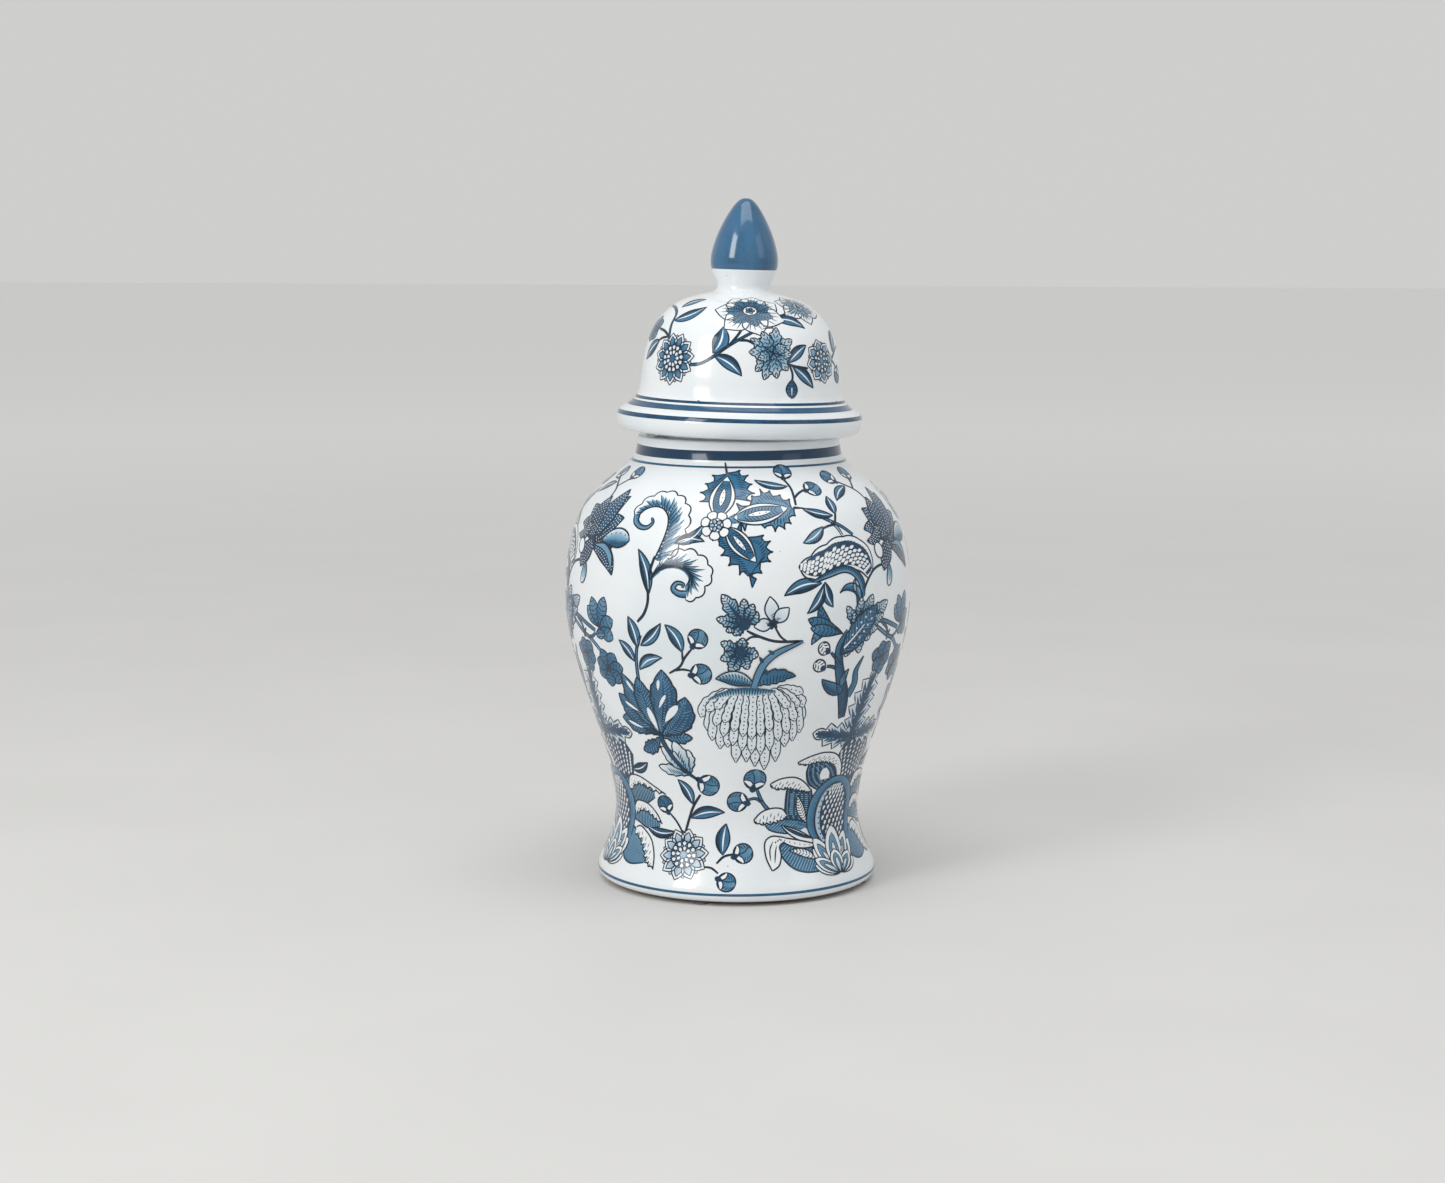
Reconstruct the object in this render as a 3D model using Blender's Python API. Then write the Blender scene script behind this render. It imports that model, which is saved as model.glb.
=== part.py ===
"""A lidded ginger jar: a slip-cast baluster jar, a domed lid with a bud finial, and clear bumpers.

Metres, +Z up. The origin is on the surface that the jar stands on, on the jar's axis.
The front of the jar faces -Y. Outlines are given as (radius, height) in millimetres and
turned about the axis.
"""

import math

import bpy
from mathutils import Matrix, Vector

MM = 0.001

# Driving dimensions, in millimetres.
TOTAL_HEIGHT = 355.0
BELLY_RADIUS = 90.0
BELLY_HEIGHT = 148.0
WAIST_RADIUS = 63.7
FOOT_RADIUS = 73.2
NECK_RADIUS = 52.6
RIM_HEIGHT = 233.6
FLANGE_RADIUS = 63.6
JAR_WALL = 5.0
LID_WALL = 4.6
CONTACT_GAP = 0.3

# Clear bumpers: under the foot, and under the lid's flange.
PAD_RADIUS = 4.5
PAD_HEIGHT = 1.5
PAD_CIRCLE = 65.8
PAD_COUNT = 4
FIRST_PAD_DEGREES = -16.0
BUMPER_RADIUS = 4.0
BUMPER_CIRCLE = 50.3
BUMPER_COUNT = 3
FIRST_BUMPER_DEGREES = 60.0

# The foot ring stands on the pads.
FOOT_HEIGHT = PAD_HEIGHT + CONTACT_GAP
FOOT_RING_OUTER = 69.0
FOOT_RING_INNER = 59.0
RECESS_HEIGHT = 5.2
FLOOR_HEIGHT = 10.0

# The lid's flange hangs over the rim, and its locating ring drops inside the neck.
SEAT_HEIGHT = 236.4
LIP_HEIGHT = 235.1
RING_OUTER = 45.6
RING_INNER = 41.8
RING_BOTTOM = 226.4
# The lid sits a little crooked, lower at +X, and a little off centre.
LID_LEAN = math.radians(1.4)
LID_SHIFT = 0.4

JAR_STEPS = 52
LID_STEPS = 44
DOT_STEPS = 16

# name: (colour, roughness, transmission)
FINISHES = {
    "glazed_porcelain": ((0.83, 0.86, 0.88, 1.0), 0.12, 0.0),
    "clear_silicone": ((0.86, 0.87, 0.86, 1.0), 0.30, 0.6),
}


def clear_scene():
    for found in list(bpy.data.objects):
        bpy.data.objects.remove(found)


def finish(name):
    colour, roughness, transmission = FINISHES[name]
    material = bpy.data.materials.get(name) or bpy.data.materials.new(name)
    material.use_nodes = True
    shader = material.node_tree.nodes["Principled BSDF"]
    shader.inputs["Base Color"].default_value = colour
    shader.inputs["Roughness"].default_value = roughness
    shader.inputs["Metallic"].default_value = 0.0
    shader.inputs["Transmission Weight"].default_value = transmission
    return material


def smooth(keys, spans):
    """A Catmull-Rom curve through the keys, with that many steps between two of them."""
    points = [Vector(key) for key in keys]
    before = points[0] * 2 - points[1]
    after = points[-1] * 2 - points[-2]
    padded = [before, *points, after]
    curve = []
    for a, b, c, d in zip(padded, padded[1:], padded[2:], padded[3:]):
        for step in range(spans):
            t = step / spans
            curve.append(
                0.5
                * (
                    2 * b
                    + (c - a) * t
                    + (2 * a - 5 * b + 4 * c - d) * t**2
                    + (3 * b - a - 3 * c + d) * t**3
                )
            )
    return curve + [points[-1]]


def inset(curve, wall):
    """The curve moved towards the axis side by the wall's thickness, along its normals."""
    moved = []
    for index, point in enumerate(curve):
        ahead = curve[min(index + 1, len(curve) - 1)]
        behind = curve[max(index - 1, 0)]
        along = (ahead - behind).normalized()
        moved.append(point + Vector((along.y, -along.x)) * wall)
    return moved


def arc(centre, radius, start, end, steps):
    """Points on a circular arc, from one angle to another, in degrees."""
    angles = [math.radians(start + (end - start) * i / steps) for i in range(steps + 1)]
    return [Vector((centre[0] + radius * math.cos(a), centre[1] + radius * math.sin(a))) for a in angles]


def turned(name, outline, steps, material, place=Matrix.Identity(4)):
    """A solid turned from an outline that starts and ends on the axis and runs down its outer side."""
    mesh = bpy.data.meshes.new(name)
    vertices = [(point[0] * MM, 0.0, point[1] * MM) for point in outline]
    edges = [(i, i + 1) for i in range(len(outline) - 1)]
    mesh.from_pydata(vertices, edges, [])
    obj = bpy.data.objects.new(name, mesh)
    bpy.context.scene.collection.objects.link(obj)
    screw = obj.modifiers.new("turn", "SCREW")
    screw.steps = screw.render_steps = steps
    screw.use_merge_vertices = True
    screw.merge_threshold = 0.00001
    screw.use_smooth_shade = True
    obj.data.materials.append(material)
    obj.matrix_world = place
    return obj


def jar_wall():
    """The outside of the jar, from the rim's outer edge down to the waist and the foot."""
    return [
        (NECK_RADIUS, RIM_HEIGHT - 2.0),
        (52.9, 227.0),
        (54.6, 222.2),
        (60.8, 215.9),
        (70.0, 208.3),
        (79.4, 198.3),
        (86.0, 183.5),
        (89.4, 165.5),
        (BELLY_RADIUS, BELLY_HEIGHT),
        (87.6, 129.0),
        (81.4, 106.0),
        (74.4, 85.0),
        (68.0, 64.5),
        (64.4, 47.0),
        (WAIST_RADIUS, 35.5),
        (65.8, 24.6),
        (69.8, 15.0),
        (72.5, 9.4),
    ]


def jar_outline():
    outside = smooth(jar_wall(), 2)
    rim_roll = 1.2
    inner_neck = NECK_RADIUS - JAR_WALL
    rim = [
        *arc((inner_neck + rim_roll, RIM_HEIGHT - rim_roll), rim_roll, 180, 90, 2),
        *arc((NECK_RADIUS - rim_roll, RIM_HEIGHT - rim_roll), rim_roll, 90, 30, 2),
    ]
    foot_roll = [
        Vector((FOOT_RADIUS, 6.2)),
        Vector((72.2, 3.2)),
        Vector((FOOT_RING_OUTER, FOOT_HEIGHT)),
    ]
    inside = inset(smooth(jar_wall()[1:-2], 1), JAR_WALL)[::-1]
    corner_radius = 9.0
    corner_centre = (inside[0].x - corner_radius, FLOOR_HEIGHT + corner_radius)
    floor = [Vector((0.0, FLOOR_HEIGHT)), *arc(corner_centre, corner_radius, 270, 340, 3)]
    underside = [
        Vector((FOOT_RING_INNER, FOOT_HEIGHT)),
        Vector((FOOT_RING_INNER - 1.6, RECESS_HEIGHT)),
        Vector((0.0, RECESS_HEIGHT)),
    ]
    return floor + inside + rim + outside[1:] + foot_roll + underside


def dome_and_finial():
    """The outside of the lid, from the finial's tip down to the flange's edge."""
    bud = [
        (0.0, TOTAL_HEIGHT),
        (2.9, 354.3),
        (6.6, 350.6),
        (11.0, 343.4),
        (14.9, 334.6),
        (17.1, 326.6),
    ]
    stem = [
        (17.3, 320.4),
        (15.6, 315.3),
        (13.6, 310.4),
        (14.6, 307.4),
    ]
    dome = [
        (22.5, 305.2),
        (32.5, 301.7),
        (40.6, 295.4),
        (46.4, 287.0),
        (49.6, 277.5),
        (51.3, 267.0),
        (52.2, 258.5),
        (53.6, 253.4),
        (57.0, 249.3),
        (60.6, 247.1),
    ]
    return bud + stem + dome


def lid_outline():
    outside = [Vector(point) for point in dome_and_finial()]
    hollow = inset(outside[3:-3], LID_WALL)[::-1]
    cavity_top = [Vector((0.0, hollow[-1].y + 2.5))]
    edge_roll = 4.7
    lip_roll = 2.2
    flange = [
        Vector((FLANGE_RADIUS - 0.9, 245.6)),
        *arc((FLANGE_RADIUS - edge_roll, 240.6), edge_roll, 20, -35, 3),
        *arc((58.2, LIP_HEIGHT + lip_roll), lip_roll, -70, -150, 2),
        Vector((54.2, SEAT_HEIGHT)),
    ]
    ring = [
        Vector((RING_OUTER, SEAT_HEIGHT)),
        Vector((RING_OUTER, RING_BOTTOM + 1.0)),
        Vector((RING_OUTER - 1.0, RING_BOTTOM)),
        Vector((RING_INNER + 1.0, RING_BOTTOM)),
        Vector((RING_INNER, RING_BOTTOM + 1.0)),
        Vector((RING_INNER, 238.0)),
        Vector((44.2, 246.0)),
    ]
    return outside + flange + ring + hollow + cavity_top


def dot_outline(radius, height):
    """A flattened dome with a flat top and bottom and rounded sides."""
    flat = radius * 0.72
    return [
        (0.0, height),
        (flat, height),
        (radius * 0.93, height * 0.72),
        (radius, height * 0.30),
        (radius * 0.97, 0.0),
        (0.0, 0.0),
    ]


def on_circle(circle, height, degrees):
    """A point on a circle about the axis. 0 degrees is the front, and angles run towards +X."""
    angle = math.radians(degrees)
    return Vector((circle * math.sin(angle), -circle * math.cos(angle), height)) * MM


def lid_place():
    """The lid's lean about the middle of its seat, and its shift."""
    seat = Matrix.Translation((0.0, 0.0, SEAT_HEIGHT * MM))
    shifted = Matrix.Translation((LID_SHIFT * MM, 0.0, SEAT_HEIGHT * MM))
    return shifted @ Matrix.Rotation(LID_LEAN, 4, "Y") @ seat.inverted()


def bumper_height(degrees):
    """Each bumper fills the gap between the leaning seat and the level rim, where it is."""
    lowest_side = BUMPER_CIRCLE * math.sin(math.radians(degrees)) + BUMPER_RADIUS
    return SEAT_HEIGHT - RIM_HEIGHT - 2 * CONTACT_GAP - lowest_side * math.sin(LID_LEAN)


def foot_pads(material):
    outline = dot_outline(PAD_RADIUS, PAD_HEIGHT)
    for index in range(PAD_COUNT):
        degrees = FIRST_PAD_DEGREES + index * 360 / PAD_COUNT
        place = Matrix.Translation(on_circle(PAD_CIRCLE, 0.0, degrees))
        turned(f"foot_pad_{index + 1}", outline, DOT_STEPS, material, place)


def lid_bumpers(material):
    upside_down = Matrix.Rotation(math.pi, 4, "X")
    for index in range(BUMPER_COUNT):
        degrees = FIRST_BUMPER_DEGREES + index * 360 / BUMPER_COUNT
        outline = dot_outline(BUMPER_RADIUS, bumper_height(degrees))
        hung = Matrix.Translation(on_circle(BUMPER_CIRCLE, SEAT_HEIGHT - CONTACT_GAP, degrees))
        turned(f"lid_bumper_{index + 1}", outline, DOT_STEPS, material, lid_place() @ hung @ upside_down)


def build():
    clear_scene()
    porcelain = finish("glazed_porcelain")
    silicone = finish("clear_silicone")
    turned("jar", jar_outline(), JAR_STEPS, porcelain)
    turned("lid", lid_outline(), LID_STEPS, porcelain, lid_place())
    foot_pads(silicone)
    lid_bumpers(silicone)


build()
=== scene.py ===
import bisect
import math
import bmesh
import bpy
from mathutils import Matrix, Vector


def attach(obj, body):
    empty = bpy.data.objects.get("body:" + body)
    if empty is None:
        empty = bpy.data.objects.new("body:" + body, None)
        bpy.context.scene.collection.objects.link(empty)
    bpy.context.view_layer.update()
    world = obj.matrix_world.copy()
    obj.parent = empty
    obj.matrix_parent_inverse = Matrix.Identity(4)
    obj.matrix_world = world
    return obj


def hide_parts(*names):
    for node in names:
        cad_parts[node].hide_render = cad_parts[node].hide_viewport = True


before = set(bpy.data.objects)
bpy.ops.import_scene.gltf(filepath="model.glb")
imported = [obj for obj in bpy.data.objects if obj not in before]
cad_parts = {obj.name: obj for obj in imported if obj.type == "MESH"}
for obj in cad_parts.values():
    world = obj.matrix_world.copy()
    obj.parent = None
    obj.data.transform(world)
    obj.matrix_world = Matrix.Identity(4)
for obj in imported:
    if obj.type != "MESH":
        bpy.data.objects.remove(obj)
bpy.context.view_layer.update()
print("frame loaded")

mm = 0.001


# curves and outlines are lists of complex numbers: across + up * 1j

def mix(first, second, part):
    return first * (1 - part) + second * part


def spread(ends, count):
    # that many places, evenly between two ends
    return [ends[0] + (ends[1] - ends[0]) * (i + 0.5) / count for i in range(count)]


def heading(degrees):
    return complex(math.cos(math.radians(degrees)), math.sin(math.radians(degrees)))


def neighbours(points):
    # the points before and after each point, or the end itself
    return zip([points[0], *points[:-1]], [*points[1:], points[-1]])


def curveThrough(keys, step, gap=lambda a, b: abs(b - a)):
    # a smooth curve through the keys, with a point about every step
    ends = [2 * keys[0] - keys[1], *keys, 2 * keys[-1] - keys[-2]]
    curve = []
    for a, b, c, d in zip(ends, ends[1:], ends[2:], ends[3:]):
        parts = max(1, round(gap(b, c) / step))
        for part in range(parts):
            t = part / parts
            bent = (2 * a - 5 * b + 4 * c - d) * t * t + (3 * b - a - 3 * c + d) * t ** 3
            curve.append(0.5 * (2 * b + (c - a) * t + bent))
    return curve + [keys[-1]]


def arcPoints(centre, radius, start, end, parts):
    return [centre + radius * heading(start + (end - start) * i / parts) for i in range(parts + 1)]


def normals(curve):
    # pointing to the right of the way
    return [-1j * (after - before) / abs(after - before) for before, after in neighbours(curve)]


def offsetCurve(curve, wall):
    return [point + normal * wall for point, normal in zip(curve, normals(curve))]


class Wire:
    def __init__(self, tree, socket=None):
        self.tree = tree
        self.socket = socket

    def node(self, kind, settings={}, sockets={}, out=0):
        made = self.tree.nodes.new(kind)
        for name, value in settings.items():
            if name == "stops":
                ramp = made.color_ramp.elements
                while len(ramp) < len(value):
                    ramp.new(0.5)
                for stop, (place, colour) in zip(ramp, value):
                    stop.position = place
                    stop.color = colour
            else:
                setattr(made, name, value)
        for name, value in sockets.items():
            feed(made.inputs[name], value)
        return Wire(self.tree, made.outputs[out])

    def maths(self, operation, first, second):
        return self.node("ShaderNodeMath", {"operation": operation}, {0: first, 1: second})

    def __add__(self, other):
        return self.maths("ADD", self, other)

    def __sub__(self, other):
        return self.maths("SUBTRACT", self, other)

    def __rsub__(self, other):
        return self.maths("SUBTRACT", other, self)

    def __mul__(self, other):
        return self.maths("MULTIPLY", self, other)

    __radd__ = __add__
    __rmul__ = __mul__

    def above(self, low, high):
        limits = {"Value": self, "From Min": low, "From Max": high, "To Min": 0, "To Max": 1.0}
        return self.node("ShaderNodeMapRange", {"interpolation_type": "SMOOTHSTEP"}, limits)

    def blend(self, first, second):
        sockets = {"Factor": self, 6: first, 7: second}
        return self.node("ShaderNodeMix", {"data_type": "RGBA"}, sockets, 2)

    def speckle(self, scale, detail=2.0, roughness=0.5, stretch=(1, 1, 1)):
        place = self.node("ShaderNodeTexCoord", out=3)
        place = self.node("ShaderNodeMapping", {}, {"Vector": place, "Scale": stretch})
        sockets = {"Vector": place, "Scale": scale, "Detail": detail, "Roughness": roughness}
        return self.node("ShaderNodeTexNoise", {}, sockets)

    def bump(self, strength, distance):
        sockets = {"Strength": strength, "Distance": distance, "Height": self}
        return self.node("ShaderNodeBump", {}, sockets)


def feed(socket, value):
    if isinstance(value, Wire):
        value.tree.links.new(value.socket, socket)
    else:
        socket.default_value = value


def finish(name, paint):
    # paint(wire) gives what goes into the sockets of a new material's shader
    material = bpy.data.materials.new(name)
    material.use_nodes = True
    shader = material.node_tree.nodes["Principled BSDF"]
    for socket, value in paint(Wire(material.node_tree)).items():
        feed(shader.inputs[socket], value)
    return material


glaze = {
    "white": (0.80, 0.835, 0.86, 1),
    "pooled": (0.70, 0.765, 0.80, 1),
    "speck": (0.30, 0.27, 0.23, 1),
    "roughness": 0.16,
    "coat": {"Coat Weight": 0.6, "Coat Roughness": 0.045},
}


def paintGlaze(wire):
    cloud = wire.speckle(14, 3)
    fine = wire.speckle(900, 2)
    pits = wire.speckle(420, 1)
    white = cloud.above(0.45, 0.75).blend(glaze["white"], glaze["pooled"])
    specks = pits.above(0.80, 0.84) * 0.8
    waves = wire.speckle(55, 1) * 0.75 + fine * 0.02
    return {
        "Base Color": specks.blend(white, glaze["speck"]),
        "Roughness": glaze["roughness"] + cloud * 0.06,
        **glaze["coat"],
        "Normal": waves.bump(0.22, 0.0012),
    }


def paintWash(wire):
    tone = wire.node("ShaderNodeAttribute", {"attribute_name": "tone"}, out=2)
    cloud = wire.speckle(150, 3, 0.6)
    grain = wire.speckle(1500, 1)
    depth = tone * (0.78 + cloud * 0.4 + grain * 0.16)
    stops = [
        (0, glaze["white"]),
        (0.32, (0.21, 0.39, 0.53, 1)),
        (0.62, (0.030, 0.150, 0.285, 1)),
        (1, (0.002, 0.036, 0.088, 1)),
    ]
    colour = wire.node("ShaderNodeValToRGB", {"stops": stops}, {"Fac": depth})
    return {
        "Base Color": colour,
        "Specular IOR Level": 0.2,
        "Roughness": glaze["roughness"] + cloud * 0.05,
        **glaze["coat"],
    }


def paintInk(wire):
    cloud = wire.speckle(260, 2)
    colour = cloud.above(0.3, 0.7).blend((0.0005, 0.012, 0.030, 1), (0.002, 0.024, 0.052, 1))
    return {
        "Base Color": colour,
        "Specular IOR Level": 0.2,
        "Roughness": glaze["roughness"] + cloud * 0.05,
        **glaze["coat"],
    }


def paintFinial(wire):
    cloud = wire.speckle(60, 3, 0.6, (1, 1, 0.25))
    fine = wire.speckle(700, 2)
    shade = cloud * 0.8 + fine * 0.2
    colour = shade.above(0.35, 0.68).blend((0.013, 0.082, 0.18, 1), (0.030, 0.135, 0.265, 1))
    waves = wire.speckle(70, 1)
    return {
        "Base Color": colour,
        "Roughness": 0.12 + cloud * 0.06,
        **glaze["coat"],
        "Normal": waves.bump(0.2, 0.001),
    }


def paintBisque(wire):
    cloud = wire.speckle(45, 4)
    grit = wire.speckle(1800, 2)
    colour = cloud.above(0.3, 0.7).blend((0.60, 0.53, 0.48, 1), (0.50, 0.43, 0.385, 1))
    colour = (grit.above(0.62, 0.72) * 0.4).blend(colour, (0.33, 0.27, 0.22, 1))
    return {"Base Color": colour, "Roughness": 0.85 + grit * 0.1, "Normal": grit.bump(0.5, 0.0003)}


def paintSilicone(wire):
    cloud = wire.speckle(300, 2)
    return {
        "Base Color": cloud.above(0.2, 0.8).blend((0.90, 0.91, 0.90, 1), (0.80, 0.82, 0.81, 1)),
        "Roughness": 0.18 + cloud * 0.12,
        "Transmission Weight": 0.85,
        "IOR": 1.41,
        "Normal": cloud.bump(0.2, 0.0002),
    }


whiteGlaze = finish("whiteGlaze", paintGlaze)
blueWash = finish("blueWash", paintWash)
navyInk = finish("navyInk", paintInk)
finialBlue = finish("finialBlue", paintFinial)
bareClay = finish("bareClay", paintBisque)
clearSilicone = finish("clearSilicone", paintSilicone)
print("finishes mixed")


def deselectAll():
    if bpy.context.object and bpy.context.object.mode != "OBJECT":
        bpy.ops.object.mode_set(mode="OBJECT")
    bpy.ops.object.select_all(action="DESELECT")


wheel = {"weld": 0.000004, "crease": 50}  # metres, degrees


def throwPot(name, outline, steps):
    # the outline runs from the axis to the axis, down the outer side
    deselectAll()
    bpy.ops.mesh.primitive_circle_add(vertices=len(outline), radius=0.05)
    pot = bpy.context.object
    pot.name = name
    bpy.ops.object.mode_set(mode="EDIT")
    shape = bmesh.from_edit_mesh(pot.data)
    shape.verts.ensure_lookup_table()
    for vert, point in zip(shape.verts, outline):
        vert.co = (point.real * mm, 0, point.imag * mm)
    closing = shape.edges.get((shape.verts[0], shape.verts[-1]))
    shape.edges.remove(closing)
    bmesh.update_edit_mesh(pot.data)
    bpy.ops.mesh.select_all(action="SELECT")
    bpy.ops.mesh.spin(steps=steps, angle=math.tau, center=(0, 0, 0), axis=(0, 0, 1))
    bpy.ops.mesh.select_all(action="SELECT")
    bpy.ops.mesh.remove_doubles(threshold=wheel["weld"])
    bpy.ops.mesh.normals_make_consistent(inside=False)
    bpy.ops.object.mode_set(mode="OBJECT")
    bpy.ops.object.shade_smooth_by_angle(angle=math.radians(wheel["crease"]))
    return pot


def dressFaces(pot, materials, choose):
    # choose(radius, height), in mm, gives the number of a face's material
    for material in materials:
        pot.data.materials.append(material)
    for face in pot.data.polygons:
        centre = face.center / mm
        face.material_index = choose(math.hypot(centre.x, centre.y), centre.z)


jarShape = {
    "outside": [
        52.6+231.6j, 52.9+227j, 54.6+222.2j, 60.8+215.9j, 70+208.3j, 79.4+198.3j,
        86+183.5j, 89.4+165.5j, 90+148j, 87.6+129j, 81.4+106j, 74.4+85j,
        68+64.5j, 64.4+47j, 63.7+35.5j, 65.8+24.6j, 69.8+15j, 72.5+9.4j, 73.2+6.2j,
    ],
    "wall": 5,
    "rimTop": 233.6,
    "rimRoll": 1.25,
    "footRoll": [73.2+6.2j, 73.1+4.6j, 72.4+3.2j, 71+2.2j, 69+1.8j],
    "recess": [59+1.8j, 58.2+2.4j, 57.6+4.4j, 56.4+5.2j, 30+5.2j, 0+5.2j],
    "floor": 10,
    "clayInside": 57.4,  # bare clay from here out, under the foot
    "steps": 288,
}

lidShape = {
    "bud": [
        0+355j, 1.6+354.8j, 3.4+354j, 6.6+350.6j, 11+343.4j, 14.9+334.6j,
        17.1+326.6j, 17.4+321.4j, 16.9+318.6j,
    ],
    "dome": [
        16.9+318.6j, 15.6+315.3j, 13.9+311.4j, 13.9+308.9j, 15.8+306.9j, 22.5+305.2j,
        32.5+301.7j, 40.6+295.4j, 46.4+287j, 49.6+277.5j, 51.3+267j, 52.2+258.5j,
        53.6+253.4j, 57+249.3j, 60.6+247.1j, 62.7+245.6j,
    ],
    "wall": 4.6,
    "flange": [62.7+245.6j, 63.5+243.6j, 63.6+240.6j, 62.9+237.8j, 61+235.7j, 58.4+235.1j,
               56.2+235.5j, 54.2+236.4j],
    "ring": [45.6+236.4j, 45.6+227.6j, 45.3+226.7j, 44.6+226.4j, 42.8+226.4j, 42.1+226.7j,
             41.8+227.6j, 41.8+238j, 44.2+246j],
    "seat": 236.4,
    "lean": math.radians(1.4),
    "shift": 0.4,
    "steps": 256,
}


def jarOutline(shape):
    outside = curveThrough(shape["outside"], 1.6)
    roll = shape["rimRoll"]
    neck = shape["outside"][0].real
    insideNeck = neck - shape["wall"]
    top = shape["rimTop"] - roll
    rim = arcPoints(complex(insideNeck + roll, top), roll, 180, 90, 6)
    rim += arcPoints(complex(neck - roll, top), roll, 90, 8, 6)
    inside = curveThrough(offsetCurve(shape["outside"][1:-4], shape["wall"]), 4)[::-1]
    corner = 9
    floor = arcPoints(complex(inside[0].real - corner, shape["floor"] + corner), corner, 270, 345, 8)
    middle = [complex(radius, shape["floor"]) for radius in (0, 18, 36)]
    return middle + floor + inside + rim + outside[:-1] + shape["footRoll"] + shape["recess"], outside


def lidOutline(shape):
    bud = curveThrough(shape["bud"], 0.9)
    dome = curveThrough(shape["dome"], 0.9)
    keys = shape["bud"][4:-1] + shape["dome"]
    hollow = curveThrough(offsetCurve(keys[:-3], shape["wall"]), 3)[::-1]
    top = [complex(hollow[-1].real * 0.5, hollow[-1].imag + 1.8), complex(0, hollow[-1].imag + 2.4)]
    flange = curveThrough(shape["flange"], 0.8)
    return bud[:-1] + dome[:-1] + flange + shape["ring"] + hollow + top, dome


def lidPlace(shape):
    seat = Matrix.Translation((0, 0, shape["seat"] * mm))
    shifted = Matrix.Translation((shape["shift"] * mm, 0, shape["seat"] * mm))
    return shifted @ Matrix.Rotation(shape["lean"], 4, "Y") @ seat.inverted()


jarLine, jarWall = jarOutline(jarShape)
jarPot = throwPot("jarPot", jarLine, jarShape["steps"])
footEdge = jarShape["footRoll"][3].imag + 0.2
dressFaces(jarPot, [whiteGlaze, bareClay],
           lambda radius, height: int(height < footEdge and radius > jarShape["clayInside"]))
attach(jarPot, "jar_body")
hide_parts("jar")

lidLine, lidWall = lidOutline(lidShape)
lidPot = throwPot("lidPot", lidLine, lidShape["steps"])
budLine = lidShape["bud"][-1].imag
dressFaces(lidPot, [whiteGlaze, finialBlue], lambda radius, height: int(height > budLine and radius > 0))
lidLean = lidPlace(lidShape)
lidPot.data.transform(lidLean)
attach(lidPot, "lid_body")
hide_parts("lid")
print("pots thrown")

# a place on a pot's wall is degrees round from the front + millimetres up along the wall * 1j

film = {"lift": 0.045, "step": 0.016, "grid": 1.8, "vein": 0.36, "press": 1.6}


class Wall:
    def __init__(self, line, zeroHeight):
        self.line = line[::-1]
        self.ups = [0]
        for low, high in zip(self.line, self.line[1:]):
            self.ups.append(self.ups[-1] + abs(high - low))
        zero = next(i for i, point in enumerate(self.line) if point.imag >= zeroHeight)
        self.ups = [up - self.ups[zero] for up in self.ups]
        self.outward = normals(self.line)

    def at(self, up, lift=0):
        i = min(max(bisect.bisect_right(self.ups, up) - 1, 0), len(self.ups) - 2)
        part = (up - self.ups[i]) / (self.ups[i + 1] - self.ups[i])
        point = mix(self.line[i], self.line[i + 1], part)
        return point + mix(self.outward[i], self.outward[i + 1], part) * lift

    def upAt(self, height):
        i = next(i for i, point in enumerate(self.line) if point.imag >= height)
        part = (height - self.line[i - 1].imag) / (self.line[i].imag - self.line[i - 1].imag)
        return mix(self.ups[i - 1], self.ups[i], part)

    def perDegree(self, up):
        return math.radians(self.at(up).real)

    def spot(self, place, lift):
        point = self.at(place.imag, lift)
        turn = math.radians(place.real)
        return Vector((point.real * math.sin(turn), -point.real * math.cos(turn), point.imag)) * mm


class Patch:
    def __init__(self, left, right):
        self.left = left
        self.right = right

    def at(self, along, across):
        place = min(max(along, 0), 1) * (len(self.left) - 1)
        i = min(int(place), len(self.left) - 2)
        part = place - i
        left = mix(self.left[i], self.left[i + 1], part)
        right = mix(self.right[i], self.right[i + 1], part)
        return mix(left, right, across)

    def part(self, start, end, first, last, rows):
        steps = [start + (end - start) * i / rows for i in range(rows + 1)]
        return Patch([self.at(t, first) for t in steps], [self.at(t, last) for t in steps])


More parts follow.
